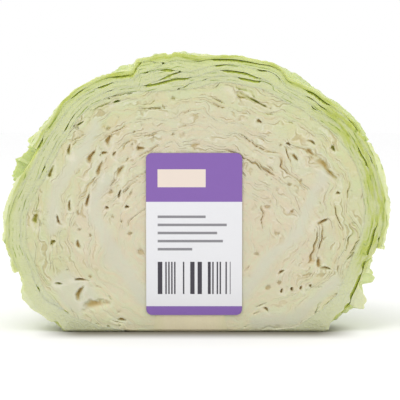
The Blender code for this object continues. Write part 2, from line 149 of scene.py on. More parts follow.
def number(name, description, default, low=0.0, **facts):
    """A number that the user can change."""
    return bpy.props.FloatProperty(name=name, description=description, default=default, min=low, **facts)


def length(name, description, default, low=0.0, high=1.0):
    """A length that the user can change."""
    return number(name, description, default, low, max=high, precision=5, unit="LENGTH")


def colour(name, description, red, green, blue):
    """A colour that the user can change, given as a screen colour."""
    return bpy.props.FloatVectorProperty(
        name=name, description=description, subtype="COLOR", size=3, min=0.0, max=1.0,
        default=paint(red, green, blue))


class HeadSize(bpy.types.PropertyGroup):
    """The round head that every leaf lies on."""

    half_width: length("Half Width", "Half the head's width under the outer leaves", 0.0980)
    depth: length("Depth", "From the cut to the back of the head", 0.0935)
    rise: length("Rise", "From the widest level to the top", 0.0808)
    drop: length("Drop", "From the widest level down to the head's full round", 0.0735)
    widest_level: length("Widest Level", "Height of the widest level above the table", 0.055)
    wave_height: length("Wave Height", "Height of the head's low waves", 0.0012)
    crumple: length("Crumple", "Height of the crumples that all leaves share", 0.0009)
    pitch: length("Leaf Pitch", "From one leaf's inner face to the next one's", 0.0029)
    heart_inset: length("Heart Inset", "How far the heart lies inside the head's surface", 0.0092)
    leaf_gap: length("Leaf Gap", "Air between two leaves that press on each other", 0.00001)
    drape: length("Drape", "How far a leaf slopes down past the margin of one under it", 0.024)


class LeafLook(bpy.types.PropertyGroup):
    """The outer leaves' blades, veins and colours."""

    step: length("Mesh Step", "Size of the mesh's faces", 0.0012, 0.0004, 0.02)
    blade: length("Blade", "Thickness of the blade where nothing lies on it", 0.0016)
    groove_width: length("Groove Width", "Widest gap between two leaves at the cut", 0.0016)
    groove_depth: length("Groove Depth", "How far such a gap runs in behind the cut", 0.0015)
    margin: length("Margin", "Width over which a leaf under others thins out to its margin", 0.007)
    net_lift: length("Net Lift", "Mean height of the bare leaves' relief", 0.0007)
    vein_height: length("Vein Height", "Height of the side veins", 0.0011)
    cell: length("Vein Cell", "Width of the cells between the larger veins", 0.0100)
    small_cell: length("Small Cell", "Width of the cells between the fine veins", 0.0042)
    lump: length("Lump", "Height of the torn and crumpled bits beside the cut", 0.0028)
    side_swell: length("Side Swell", "How far the leaves stand out at both sides of the cut", 0.0020)
    dimple: length("Dimple", "How far the blade sinks or swells between its veins", 0.0024)
    margin_wave: length("Margin Wave", "Height of the short waves along a bare margin", 0.0011)
    rough_reach: length("Rough Reach", "How far behind the cut the relief reaches its full height", 0.020)
    press_reach: length("Press Reach", "How far outside another leaf's margin it still presses", 0.008)
    green: colour("Green", "Blade of the outermost leaves", 176, 197, 96)
    pale_green: colour("Pale Green", "Blade near the stalk and of the inner leaves", 204, 213, 152)
    vein: colour("Vein", "Raised veins", 214, 220, 176)
    cut_edge: colour("Cut Edge", "Flesh of the inner leaves where the knife went through", 196, 199, 156)
    cut_rim: colour("Cut Rim", "Flesh of the outermost leaves where the knife went through", 198, 206, 146)
    foot_edge: colour("Foot Edge", "Cut flesh of the leaves near the foot", 203, 205, 172)
    streak: colour("Streak", "Fine lines along the cut leaves", 124, 146, 34)
    lime: colour("Lime", "Green layer under the skin of the outermost leaves", 173, 184, 76)
    shade: colour("Shade", "Blade down between the leaves", 190, 200, 100)


class HeartLook(bpy.types.PropertyGroup):
    """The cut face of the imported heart."""

    step: length("Mesh Step", "Size of the cut face's faces before they are thinned", 0.00042, 0.0002, 0.01)
    faces_kept: number(
        "Faces Kept", "Share of the faces kept where the cut is even", 0.62, 0.05, max=1.0, subtype="FACTOR")
    layers: bpy.props.IntProperty(
        name="Layers", description="Leaves between the growing tip and the rim", default=38, min=4, max=90)
    slit_depth: length("Slit Depth", "Depth of the open gaps between leaves", 0.0013)
    hollow_depth: length("Hollow Depth", "Depth of the large hollows", 0.0036)
    centre: colour("Centre", "Flesh about the stalk", 205, 196, 174)
    middle: colour("Middle", "Flesh half way out", 204, 198, 174)
    rim: colour("Rim", "Flesh near the outer leaves", 199, 200, 160)
    # The foot colour is painted light: the flesh turns paler towards the table, where less light reaches the
    # cut.
    foot: colour("Foot", "Flesh near the foot", 220, 218, 188)
    rib: colour("Rib", "Thick ribs", 197, 197, 179)
    # The fold colour is a painted highlight: the lit edges beside the creases and round the hollows.
    fold: colour("Fold", "Pale bands beside the creases and the hollows", 222, 217, 200)
    # The crease colour is painted shade: the dark of the fine creases between the leaves.
    crease: colour("Crease", "Fine creases between the leaves", 168, 148, 98)
    # Hollow and Green Hollow are partly the tan and green of the leaves inside the gaps and partly painted
    # shade there.
    hollow: colour("Hollow", "Inside of the gaps near the centre", 190, 164, 106)
    green_hollow: colour("Green Hollow", "Inside of the gaps near the rim", 162, 182, 62)


class StalkLook(bpy.types.PropertyGroup):
    """The stalk, cut lengthwise and trimmed across."""

    radius: length("Radius", "Radius at the trimmed foot", 0.019)
    tip_radius: length("Tip Radius", "Radius of the round tip", 0.008)
    height: length("Height", "From the foot to the tip", 0.066)
    clearance: length("Clearance", "Air between the stalk and the heart", 0.0001)
    pith: colour("Pith", "Middle of the stalk", 219, 210, 178)
    bark: colour("Bark", "Fibrous outer ring", 214, 209, 172)
    fibre: colour("Fibre", "Fine fibres along the stalk", 176, 156, 108)


class LabelLook(bpy.types.PropertyGroup):
    """The plain printed label."""

    corner: length("Corner", "Radius of the corners", 0.003)
    thickness: length("Thickness", "Thickness of the paper", 0.00022)
    bar: length("Bar", "Width of the finest bar", 0.00075)
    paper: colour("Paper", "Coated paper", 220, 220, 223)
    band: colour("Band", "Printed bands", 124, 88, 164)
    cream: colour("Cream", "Blank panel", 222, 208, 196)
    ink: colour("Ink", "Printed bars and rules", 52, 48, 58)


class StudioLook(bpy.types.PropertyGroup):
    """The floor, the lights and the camera."""

    floor: colour("Floor", "Pale floor and backdrop", 253, 253, 253)
    # Painted shade: the floor is a little greyer beside the cabbage.
    near_floor_shade: colour("Near Floor", "Floor beside the cabbage", 246, 246, 246)
    # Painted contact shadow on the floor right before the cut.
    contact_shadow: colour("Contact", "Shaded floor right before the cut", 132, 127, 115)
    key_power: number("Key Light", "Power of the large light in front", 4.6, unit="POWER")
    fill_power: number("Fill Light", "Power of the light from the right", 1.0, unit="POWER")
    sky: number("Sky", "Brightness of the white surroundings", 1.0)
    lens: number("Lens", "Focal length", 0.135, 0.02, unit="CAMERA")
    view_width: length("View Width", "Width that the picture shows at the cut", 0.204)
    tilt: number("Tilt", "How far the camera looks down", math.radians(4.0), -1.5, subtype="ANGLE")
    aim_x: length("Aim X", "Middle of the picture on the cut, from the head's axis", 0.0010, -1.0)
    aim_z: length("Aim Z", "Middle of the picture on the cut, above the table", 0.0678)


class CabbageSettings(bpy.types.PropertyGroup):
    """Everything that a user would change."""

    head: bpy.props.PointerProperty(type=HeadSize, name="Head", description="The round head")
    leaf: bpy.props.PointerProperty(type=LeafLook, name="Leaves", description="The outer leaves")
    heart: bpy.props.PointerProperty(type=HeartLook, name="Heart", description="The cut heart")
    stalk: bpy.props.PointerProperty(type=StalkLook, name="Stalk", description="The cut stalk")
    label: bpy.props.PointerProperty(type=LabelLook, name="Label", description="The plain label")
    studio: bpy.props.PointerProperty(type=StudioLook, name="Studio", description="Floor, lights and camera")


def settings():
    return bpy.context.scene.cabbage


# Noise and patterns

def lattice_noise(points, seed):
    """Smooth noise from -1 to 1 with features one unit wide, for an array of points."""
    points = np.asarray(points, float)
    cell = np.floor(points).astype(np.int64)
    part = points - cell
    part = part * part * part * (part * (part * 6.0 - 15.0) + 10.0)
    total = np.zeros(len(points))
    for corner in product((0, 1), repeat=points.shape[1]):
        mixed = np.full(len(points), seed * 974634777, np.int64)
        weight = np.ones(len(points))
        for axis, (step, prime) in enumerate(zip(corner, (374761393, 668265263, 2246822519))):
            mixed += (cell[:, axis] + step) * prime
            weight *= part[:, axis] if step else 1.0 - part[:, axis]
        mixed = mixed & 0xFFFFFFFF
        mixed = ((mixed ^ (mixed >> 13)) * 1274126177) & 0xFFFFFFFF
        total += weight * (((mixed ^ (mixed >> 16)) & 0xFFFF) / 32767.5 - 1.0)
    return total


def cell_borders(points, seed):
    """For flat points among random cells one unit wide: the distance to the cell's border, and its tone."""
    base = np.floor(points).astype(np.int64)
    nearest = np.full(len(points), 9.0)
    second = np.full(len(points), 9.0)
    tone = np.zeros(len(points))
    for step in product((-1, 0, 1), repeat=2):
        cell = base + step
        middle = cell + 0.5
        jitter_x = lattice_noise(middle + 0.5, seed)
        jitter_z = lattice_noise(middle + 0.5, seed + 1)
        seed_point = middle + 0.42 * np.stack([jitter_x, jitter_z], axis=1)
        away = np.linalg.norm(points - seed_point, axis=1)
        closer = away < nearest
        second = np.where(closer, nearest, np.minimum(second, away))
        tone = np.where(closer, jitter_x, tone)
        nearest = np.where(closer, away, nearest)
    return (second - nearest) / 2.0, tone


def smoothstep(value):
    """0 below 0 and 1 above 1, eased between them."""
    value = np.clip(value, 0.0, 1.0)
    return value * value * (3.0 - 2.0 * value)


def bell(value, width, middle=0.0):
    """1 where the value is at the middle, falling off evenly to both sides."""
    return np.exp(-(((value - middle) / width) ** 2))


# The round head

def direction_of(azimuth, elevation):
    """Unit direction from angles in degrees."""
    a, e = math.radians(azimuth), math.radians(elevation)
    return np.array([math.cos(e) * math.cos(a), math.cos(e) * math.sin(a), math.sin(e)])


def head_point(direction, height):
    """Points of the head's surface in these unit directions, raised by height."""
    head = settings().head
    rise = np.where(direction[:, 2] > 0, head.rise, head.drop)
    reach = np.stack([head.half_width + height, head.depth + height, rise + height], axis=1)
    return direction * reach + np.array([0.0, 0.0, head.widest_level])


def swelling(direction):
    """The dents, swellings, waves and crumples that every leaf follows."""
    head = settings().head
    total = np.array([noise.noise(Vector(d) * 3.2) for d in direction]) * head.wave_height
    for azimuth, elevation, height, spread in SWELLINGS:
        away = np.arccos(np.clip(direction @ direction_of(azimuth, elevation), -1.0, 1.0))
        total += height * bell(away, math.radians(spread))
    total += head.crumple * lattice_noise(direction * 8.0, 31)
    return total + 0.45 * head.crumple * lattice_noise(direction * 17.0, 32)


def leaf_axes(leaf):
    """The leaf's outward and sideways directions at the widest level."""
    a = math.radians(leaf.azimuth)
    return np.array([math.cos(a), math.sin(a), 0.0]), np.array([-math.sin(a), math.cos(a), 0.0])


def leaf_half_width(leaf, share):
    """Half the leaf's width, as an angle, at a share of its length from base to tip."""
    spread = np.where(share < 0.5, np.abs(share - 0.5) / 0.55, np.abs(share - 0.5) / 0.515)
    return math.radians(leaf.width) * np.sqrt(np.clip(1.0 - spread**2.4, 0.0, 1.0))


def leaf_place(leaf, direction):
    """For unit directions, the angle across the leaf and the share of its length."""
    outward, sideways = leaf_axes(leaf)
    across = np.arcsin(np.clip(direction @ sideways, -1.0, 1.0))
    along = np.arctan2(direction[:, 2], direction @ outward) - VEIN_LEAN * np.abs(across)
    share = (np.degrees(along) - leaf.base) / (leaf.tip - leaf.base)
    return across, share


def leaf_inside(leaf, direction):
    """How far unit directions lie inside the leaf's margin, in metres, below zero outside the leaf."""
    across, share = leaf_place(leaf, direction)
    span = math.radians(leaf.tip - leaf.base)
    inside = np.minimum(leaf_half_width(leaf, share) - np.abs(across), share * span)
    return np.minimum(inside, (1.0 - share) * span) * settings().head.half_width


def leaf_cover(leaf, direction):
    """1 where the leaf lies, falling to 0 over the drape outside its margin."""
    return smoothstep(1.0 + leaf_inside(leaf, direction) / settings().head.drape)


def leaf_rib(leaf, direction, height):
    """The midrib's height over the blade, thick at the base and fading to the tip."""
    across, share = leaf_place(leaf, direction)
    fade = np.clip(1.0 - share, 0.0, 1.1)
    spread = (0.0090 + 0.0090 * fade) / settings().head.half_width
    return height * fade**1.1 * smoothstep(1.0 + share / 0.2) * bell(across, spread)


def height_under(direction, order):
    """Height of the inner face of leaf number order, where each leaf lies on those inside it."""
    head = settings().head
    total = swelling(direction) - head.heart_inset
    for inner in LEAVES[:order]:
        total += leaf_cover(inner, direction) * head.pitch
    for outer in LEAVES[order:]:
        total -= leaf_rib(outer, direction, outer.rib)
    return total


def leaf_body(inside):
    """How much of its pitch a leaf under others fills, thinning out to its margin."""
    return 0.25 + 0.75 * smoothstep(inside / settings().leaf.margin)


def hollow_under(direction, order):
    """Height of the room that leaf number order would leave over the margins of those right under it."""
    room = np.zeros(len(direction))
    open_below = np.ones(len(direction))
    for inner in reversed(LEAVES[:order]):
        inside = leaf_inside(inner, direction)
        clear_of_margin = smoothstep((-inside - 0.0005) / 0.0015)
        body = (1.0 - clear_of_margin) * leaf_body(inside)
        room += open_below * (1.0 - body) * leaf_cover(inner, direction) * settings().head.pitch
        open_below *= clear_of_margin
    return room


def under_outer(direction, order):
    """How far directions lie inside the margins of the leaves outside leaf number order."""
    under = np.full(len(direction), -1.0)
    for outer in LEAVES[order + 1:]:
        under = np.maximum(under, leaf_inside(outer, direction))
    return under


def place_on_head(points):
    """The unit directions and heights that head_point takes to these points."""
    head = settings().head
    rise = np.where(points[:, 2] > head.widest_level, head.rise, head.drop)
    reach = np.stack([np.full(len(points), head.half_width), np.full(len(points), head.depth), rise], axis=1)
    height = np.zeros(len(points))
    for _ in range(6):
        scaled = (points - np.array([0.0, 0.0, head.widest_level])) / (reach + height[:, None])
        size = np.linalg.norm(scaled, axis=1)
        height += (size - 1.0) * size / np.sum(scaled**2 / (reach + height[:, None]), axis=1)
    return scaled / size[:, None], height


# Working on meshes

def start_piece(name):
    """Name the object that an operator has just added, and leave it alone selected."""
    piece = bpy.context.object
    piece.name = name
    piece.data.name = name
    return piece


def deselect():
    if bpy.context.object and bpy.context.object.mode != "OBJECT":
        bpy.ops.object.mode_set(mode="OBJECT")
    bpy.ops.object.select_all(action="DESELECT")


def choose(piece):
    deselect()
    piece.select_set(True)
    bpy.context.view_layer.objects.active = piece


def points_of(piece):
    points = np.empty(len(piece.data.vertices) * 3)
    piece.data.vertices.foreach_get("co", points)
    return points.reshape(-1, 3)


def move_points(piece, points):
    piece.data.vertices.foreach_set("co", np.asarray(points, float).ravel())
    piece.data.update()


def selected_points(piece):
    """Which points the last edit has left selected."""
    chosen = np.empty(len(piece.data.vertices), bool)
    piece.data.vertices.foreach_get("select", chosen)
    return chosen


@contextmanager
def edit_mode(select=None):
    """Work on the chosen piece's mesh, where asked with all of it selected or deselected first."""
    bpy.ops.object.mode_set(mode="EDIT")
    if select:
        bpy.ops.mesh.select_all(action=select)
    yield
    bpy.ops.object.mode_set(mode="OBJECT")


def write_values(piece, name, values):
    """Keep a value for each vertex in an attribute that the materials read."""
    layer = piece.data.attributes.get(name) or piece.data.attributes.new(name, "FLOAT", "POINT")
    layer.data.foreach_set("value", np.asarray(values, float))


def read_values(piece, name):
    values = np.empty(len(piece.data.vertices))
    piece.data.attributes[name].data.foreach_get("value", values)
    return values


def carry_to_place(piece):
    """Move a finished mesh from the head's frame to where the frame's stalk stands."""
    move_points(piece, points_of(piece) + np.array(HEAD_PLACE))


def signed_volume(piece):
    """The volume that the mesh's faces enclose, below zero if they point inwards."""
    mesh = piece.data
    mesh.calc_loop_triangles()
    corners = np.empty(len(mesh.loop_triangles) * 3, np.int32)
    mesh.loop_triangles.foreach_get("vertices", corners)
    a, b, c = points_of(piece)[corners.reshape(-1, 3)].transpose(1, 0, 2)
    return float(np.einsum("ij,ij->i", a, np.cross(b, c)).sum()) / 6.0


def face_outwards(piece):
    """Make a closed mesh's faces agree and point outwards."""
    choose(piece)
    with edit_mode("SELECT"):
        bpy.ops.mesh.normals_make_consistent(inside=False)
    if signed_volume(piece) < 0:
        with edit_mode():
            bpy.ops.mesh.flip_normals()


def add_box_tool(name, low, high):
    """A box between two corners, used to cut and then removed."""
    deselect()
    low, high = Vector(low), Vector(high)
    bpy.ops.mesh.primitive_cube_add(size=1.0, location=(low + high) / 2, scale=high - low)
    bpy.ops.object.transform_apply(location=True, rotation=True, scale=True)
    return start_piece(name)


def apply_modifier(piece, kind, **facts):
    """Change a piece's mesh by a modifier with these settings."""
    choose(piece)
    change = piece.modifiers.new(kind.lower(), kind)
    for name, value in facts.items():
        setattr(change, name, value)
    bpy.ops.object.modifier_apply(modifier=change.name)


def cut_with(piece, tool):
    """Take the tool out of a closed piece, and remove the tool."""
    apply_modifier(piece, "BOOLEAN", operation="DIFFERENCE", solver="MANIFOLD", object=tool)
    bpy.data.objects.remove(tool)


def add_edge_tool():
    """A bar along the cut's lower edge, used to take that edge off."""
    deselect()
    bpy.ops.mesh.primitive_cylinder_add(
        vertices=4, radius=LOWER_EDGE, depth=0.4, location=(0, 0, 0), rotation=(0, math.pi / 2, 0))
    bpy.ops.object.transform_apply(location=True, rotation=True, scale=True)
    return start_piece("edge")


def cut_flat(piece, tools=("knife", "board", "edge")):
    """Cut a closed piece by the knife's plane in front, the board's plane below, and along their edge."""
    for name in tools:
        if name == "knife":
            tool = add_box_tool(name, (-0.2, -0.2, -0.1), (0.2, 0.0, 0.3))
        elif name == "board":
            tool = add_box_tool(name, (-0.2, -0.1, -0.1), (0.2, 0.2, 0.0))
        else:
            tool = add_edge_tool()
        cut_with(piece, tool)


def finish_piece(piece, material, node, angle=40):
    """Shade, place, paint and hand over a piece that stands for one node of the frame."""
    carry_to_place(piece)
    choose(piece)
    bpy.ops.object.shade_smooth_by_angle(angle=math.radians(angle))
    piece.data.materials.clear()
    piece.data.materials.append(material)
    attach(piece, "root")
    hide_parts(node)


# Shader nodes

class Field:
    """A node's output that changes over a surface. Sums written with it add Math nodes to its tree."""

    def __init__(self, socket):
        self.socket = socket
        self.tree = socket.id_data

    def math(self, operation, *values, clamp=False):
        made = add_node(
            self.tree, "ShaderNodeMath", dict(enumerate(values)), operation=operation, use_clamp=clamp)
        return Field(made.outputs[0])

    def __add__(self, other):
        return self.math("ADD", self, other)

    def __sub__(self, other):
        return self.math("SUBTRACT", self, other)

    def __rsub__(self, other):
        return self.math("SUBTRACT", other, self)

    def __mul__(self, other):
        return self.math("MULTIPLY", self, other)

    def __abs__(self):
        return self.math("ABSOLUTE", self)

    def or_more(self, other):
        """The larger of the two values."""
        return self.math("MAXIMUM", self, other)

    def between(self, low, high):
        """1 where the value lies between the two limits."""
        return self.math("GREATER_THAN", self, low) * self.math("LESS_THAN", self, high)

    def spread(self, low, high, to_low=0.0, to_high=1.0):
        """The value's place between two limits, clamped and eased."""
        inputs = {"Value": self, 1: low, 2: high, 3: to_low, 4: to_high}
        made = add_node(self.tree, "ShaderNodeMapRange", inputs, interpolation_type="SMOOTHSTEP")
        return Field(made.outputs[0])


def feed(node, inputs):
    """Give a node's inputs their values, or link them to fields."""
    for key, value in inputs.items():
        if isinstance(value, Field):
            value.tree.links.new(value.socket, node.inputs[key])
        else:
            node.inputs[key].default_value = value


def add_node(tree, kind, inputs=None, **facts):
    """A node with its settings and inputs."""
    made = tree.nodes.new(kind)
    for name, value in facts.items():
        setattr(made, name, value)
    feed(made, inputs or {})
    return made


def mix(factor, first, second, blend="MIX"):
    """Two colours mixed. Each of the three may be a field, and at least one is."""
    tree = next(value.tree for value in (factor, first, second) if isinstance(value, Field))
    made = add_node(tree, "ShaderNodeMix", {0: factor}, data_type="RGBA", blend_type=blend)
    for key, tone in ((6, first), (7, second)):
        feed(made, {key: tone if isinstance(tone, Field) else (*tone, 1.0)})
    return Field(made.outputs[2])


def object_place(tree):
    return Field(add_node(tree, "ShaderNodeTexCoord").outputs["Object"])


def split_place(place):
    """The place's x, y and z."""
    return [Field(output) for output in add_node(place.tree, "ShaderNodeSeparateXYZ", {0: place}).outputs]


def length_of(place):
    made = add_node(place.tree, "ShaderNodeVectorMath", {0: place}, operation="LENGTH")
    return Field(made.outputs["Value"])


def noise_at(place, scale, detail=3.0, roughness=0.55):
    inputs = {"Vector": place, "Scale": scale, "Detail": detail, "Roughness": roughness}
    return Field(add_node(place.tree, "ShaderNodeTexNoise", inputs).outputs["Fac"])


def attribute(tree, name):
    return Field(add_node(tree, "ShaderNodeAttribute", attribute_name=name).outputs["Fac"])


def bump_on(height, strength, distance):
    inputs = {"Height": height, "Strength": strength, "Distance": distance}
    return Field(add_node(height.tree, "ShaderNodeBump", inputs).outputs["Normal"])


def new_material(name, subsurface=0.0, specular=0.4, reach=0.002):
    """A material with a Principled shader, and its node tree."""
    material = bpy.data.materials.new(name)
    material.use_nodes = True
    shader = material.node_tree.nodes["Principled BSDF"]
    feed(shader, {
        "Specular IOR Level": specular, "Subsurface Weight": subsurface, "Subsurface Scale": reach,
        "Subsurface Radius": (1.0, 0.9, 0.45)})
    return material, material.node_tree, shader


def shared_group(name, inputs, outputs, fill):
    """A node group, built once. Its sockets are named with their kinds, and fill makes the outputs."""
    group = bpy.data.node_groups.get(name)
    if group:
        return group
    group = bpy.data.node_groups.new(name, "ShaderNodeTree")
    for way, sockets in (("INPUT", inputs), ("OUTPUT", outputs)):
        for socket, kind in sockets.items():
            group.interface.new_socket(socket, in_out=way, socket_type="NodeSocket" + kind)
    given = add_node(group, "NodeGroupInput")
    made = fill(*[Field(given.outputs[socket]) for socket in inputs])
    add_node(group, "NodeGroupOutput", dict(zip(outputs, made)))
    return group


def use_group(tree, group, inputs):
    """The outputs of a shared group placed in a material."""
    made = add_node(tree, "ShaderNodeGroup", inputs, node_tree=group)
    return [Field(output) for output in made.outputs]


def fill_mottle(place, source, amount):
    """Soft patches and specks that no leaf or cut surface is without."""
    grain = noise_at(place, 900.0, 2.0, 0.6)
    swing = (noise_at(place, 70.0, 4.0, 0.6) * 0.7 + grain * 0.3 - 0.5) * amount
    inputs = {"Value": swing * 2.0 + 1.0, "Color": source}
    tinted = add_node(place.tree, "ShaderNodeHueSaturation", inputs)
    return Field(tinted.outputs["Color"]), grain


def mottled(place, source, amount):
    """A colour with soft patches and specks, and the specks' grain."""
    group = shared_group(
        "Mottle", {"Place": "Vector", "Source": "Color", "Amount": "Float"},
        {"Colour": "Color", "Grain": "Float"}, fill_mottle)
    return use_group(place.tree, group, {"Place": place, "Source": source, "Amount": amount})


def fill_streaks(level, around):
    """Long streaks and thin lines that run along the leaves on the cut."""
    fields = []
    for thick, long_share, detail in ((0.9, 6.0, 2.5), (0.35, 4.0, 1.0), (0.55, 9.0, 2.0)):
        stretched = add_node(level.tree, "ShaderNodeCombineXYZ", {0: level * thick, 1: around * long_share})
        fields.append(noise_at(Field(stretched.outputs[0]), 1.0, detail, 0.6))
    tone, wobble, place = fields
    wandering = level + wobble * 0.9
    off_line = wandering.math("PINGPONG", wandering, 0.5)
    shown = place.spread(0.47, 0.58)
    line = off_line.spread(0.03, 0.17, 1.0, 0.0) * shown
    # A pale band beside each line, used as a painted highlight.
    beside = abs(off_line - 0.26).spread(0.0, 0.12, 1.0, 0.0) * shown
    return tone, line, beside


def streaks(tree, across, density=1.0, curl=0.0):
    """The streaks' tone, lines and pale side bands (the bands are a painted highlight), which run where the
    attribute's value stays the same.
    """
    level = attribute(tree, across) * density
    if curl:
        level = level + (noise_at(object_place(tree), 210.0, 1.5) - 0.5) * curl
    group = shared_group(
        "Streaks", {"Level": "Float", "Around": "Float"},
        {"Tone": "Float", "Line": "Float", "Beside": "Float"}, fill_streaks)
    return use_group(tree, group, {"Level": level, "Around": attribute(tree, "around")})


def behind_cut(place, near, far):
    """0 on the knife's plane and 1 further than the given distance behind it."""
    _, y, z = split_place(place)
    slant = (LOWER_EDGE - z).or_more(0.0)
    return (y - slant).spread(CUT_Y + near, CUT_Y + far)


def share_from_tip(place):
    """0 at the middle of the widest level and 1 at the head's rim."""
    head = settings().head
    centre = (HEAD_PLACE.x, 0.0, head.widest_level)
    scale = (1.0 / head.half_width, 0.0, 1.0 / head.rise)
    moved = add_node(place.tree, "ShaderNodeVectorMath", {0: place, 1: centre}, operation="SUBTRACT")
    scaled = add_node(
        place.tree, "ShaderNodeVectorMath", {0: Field(moved.outputs[0]), 1: scale}, operation="MULTIPLY")
    return length_of(Field(scaled.outputs[0]))


# The heart

def distance_to_path(x, z, path):
    """Distances from points to a path of straight runs, on the cut."""
    nearest = np.full(x.shape, np.inf)
    for (ax, az), (bx, bz) in zip(path[:-1], path[1:]):
        run_x, run_z = bx - ax, bz - az
        share = np.clip(((x - ax) * run_x + (z - az) * run_z) / (run_x**2 + run_z**2), 0.0, 1.0)
        nearest = np.minimum(nearest, np.hypot(x - ax - share * run_x, z - az - share * run_z))
    return nearest


def nested_level(x, z):
    """How far out a point of the cut lies among the nested leaves: 0 at the growing tip, 1 at the rim."""
    half_wide, half_tall, rising = 90.0, 72.0, 18.0
    lean = rising / half_tall
    up = (z - TIP_LEVEL_MM) / half_tall
    b = 2.0 * lean * up
    c = -((x / half_wide) ** 2 + up**2)
    a = 1.0 - lean**2
    return (-b + np.sqrt(np.maximum(b * b - 4.0 * a * c, 0.0))) / (2.0 * a)


def rib_share(x, z):
    """1 on the wide ribs that the knife ran along, 0 away from them."""
    blur = 4.6
    rib = np.zeros(len(x))
    for *path, half_width in CUT_RIBS:
        rib = np.maximum(rib, smoothstep((half_width + 1.4 - distance_to_path(x, z, path)) / blur))
    return rib


def hollow_shares(x, z, shape):
    """The large hollows' depth from 0 to 1, and their pale rims, which are a painted highlight. Shape makes
    their outlines uneven.
    """
    edge = 1.45
    pits = np.zeros(len(x))
    rims = np.zeros(len(x))
    for middle_x, middle_z, long_mm, wide_mm, tilt in CUT_HOLLOWS:
        turn = math.radians(tilt)
        dx, dz = x - middle_x, z - middle_z
        lengthways = (dx * math.cos(turn) + dz * math.sin(turn)) / (long_mm / 2)
        side = (-dx * math.sin(turn) + dz * math.cos(turn)) / (wide_mm / 2)
        side = side / np.clip(1.0 - 0.35 * lengthways, 0.4, 1.6) + 0.35 * lengthways**2
        away = np.sqrt(lengthways**2 + side**2) + shape
        ramp = 0.18 + 0.82 * smoothstep(0.5 + 0.7 * side)
        pits = np.maximum(pits, smoothstep((edge - away) / 1.1) * ramp * (0.95 - 0.06 * wide_mm))
        beyond_mm = (away - edge) * min(wide_mm, long_mm) / 2
        # Painted highlight: a pale rim just outside each hollow.
        rims = np.maximum(rims, bell(beyond_mm, 0.4, 0.2))
    return pits, rims * (pits < 0.05)


def cut_relief(x, z):
    """For points of the cut in mm: depth behind the knife's plane, then the values that its colours read."""
    look = settings().heart
    flat = np.stack([x, z], axis=1)

    def wander(size, seed):
        return lattice_noise(flat / size, seed)

    def leaf_noise(first, second, seed):
        return lattice_noise(np.stack([first, second], axis=1), seed)

    def warp(seed):
        return 3.0 * wander(16.0, seed) + 1.5 * wander(7.0, seed + 1) + 0.6 * wander(3.0, seed + 2)

    warp_x, warp_z = warp(1), warp(4)
    wx, wz = x + warp_x, z + warp_z
    rib = rib_share(x + 0.5 * warp_x, z + 0.5 * warp_z)
    core = smoothstep(1.9 - 1.3 * np.hypot((x + 4.0) / 50.0, (z - 22.0) / 52.0))
    lined = (1.0 - 0.85 * rib) * (1.0 - 0.8 * core)

    # Each whole number of the level is the border between two nested leaves.
    uneven = 2.0 * wander(20.0, 19)

    def level_at(at_x, at_z):
        even = nested_level(at_x, at_z) * look.layers
        return even + 0.42 * np.sin(1.9 * even + uneven)

    level = level_at(wx, wz)
    around = np.arctan2(wx, wz - TIP_LEVEL_MM)
    reach = 0.3
    steep = np.hypot(level_at(wx + reach, wz) - level, level_at(wx, wz + reach) - level) / reach
    phase = level - np.floor(level)
    past_border = (phase - (phase > 0.5)) / np.maximum(steep, 0.05)
    to_border = np.abs(past_border)
    border = np.round(level)
    outwards = smoothstep((level / look.layers - 0.10) / 0.1)
    leaf_tone = leaf_noise(np.floor(level) * 1.37 + 0.5, around * 3.0, 7)
    along = around * nested_level(wx, wz) * 80.0

    # Open slits and closed creases along the borders, and folds that face one way or the other.
    openness = 0.80 * leaf_noise(border * 3.1 + 0.5, along / 7.0, 10)
    openness += 0.40 * wander(15.0, 8) + 0.15 * wander(4.0, 9) - 0.25 * core
    half_slit = 0.42 * smoothstep((openness - 0.42) / 0.7)
    slit = smoothstep((half_slit - to_border) / 0.30 + 0.3) * (half_slit > 0.02)
    slope = smoothstep(1.0 - (past_border - half_slit) / 1.3) * (past_border > 0) * (half_slit > 0.02)
    slit = np.maximum(slit, 0.45 * slope)
    crease = bell(to_border, 0.30) * smoothstep(0.55 + 1.3 * openness)
    facing = 1.3 * wander(10.0, 18) + 0.9 * leaf_noise(border * 2.3 + 0.5, along / 9.0, 20)
    fold = 0.5 + (phase - 0.5) * np.clip(facing, -1.0, 1.0)

    # Curled folds, and small round holes.
    curls = np.abs(wander(6.5, 11) + 0.4 * wander(2.8, 12))
    curl_place = smoothstep((np.abs(x + 4.0) - 10.0) / 25.0) * smoothstep(0.6 + wander(20.0, 13))
    curl = bell(curls, 0.07) * curl_place
    shape = 0.30 * wander(2.4, 16) + 0.18 * wander(1.2, 17)
    borders, spot_tone = cell_borders(flat / 5.4 + 0.06 * np.stack([warp_x, warp_z], axis=1), 14)
    spot = smoothstep((spot_tone + 0.05 + 0.15 * core) / 0.5)
    holes = smoothstep((borders + 0.06 * shape - 0.33) / 0.08) * spot
    pits, pit_rim_highlight = hollow_shares(x + 0.35 * warp_x, z + 0.35 * warp_z, shape)

    free = 1.0 - rib
    depth = 0.10 * (1.0 + leaf_tone) * free + lined * (0.24 * fold + 0.16 * crease + 0.34 * curl)
    depth += look.slit_depth * 1000.0 * slit * free * outwards
    depth = np.maximum(depth, 1.3 * holes * free)
    depth = np.maximum(depth, look.hollow_depth * 1000.0 * pits)
    # Where the creases and slits get painted shade.
    crease_shade = lined * np.maximum(0.8 * crease, 0.6 * curl) + slit * free
    return depth, {
        "rib": rib, "lined": lined, "crease_shade": crease_shade, "pit_rim_highlight": pit_rim_highlight, "leaf_tone": leaf_tone,
        "level": level, "around": around}


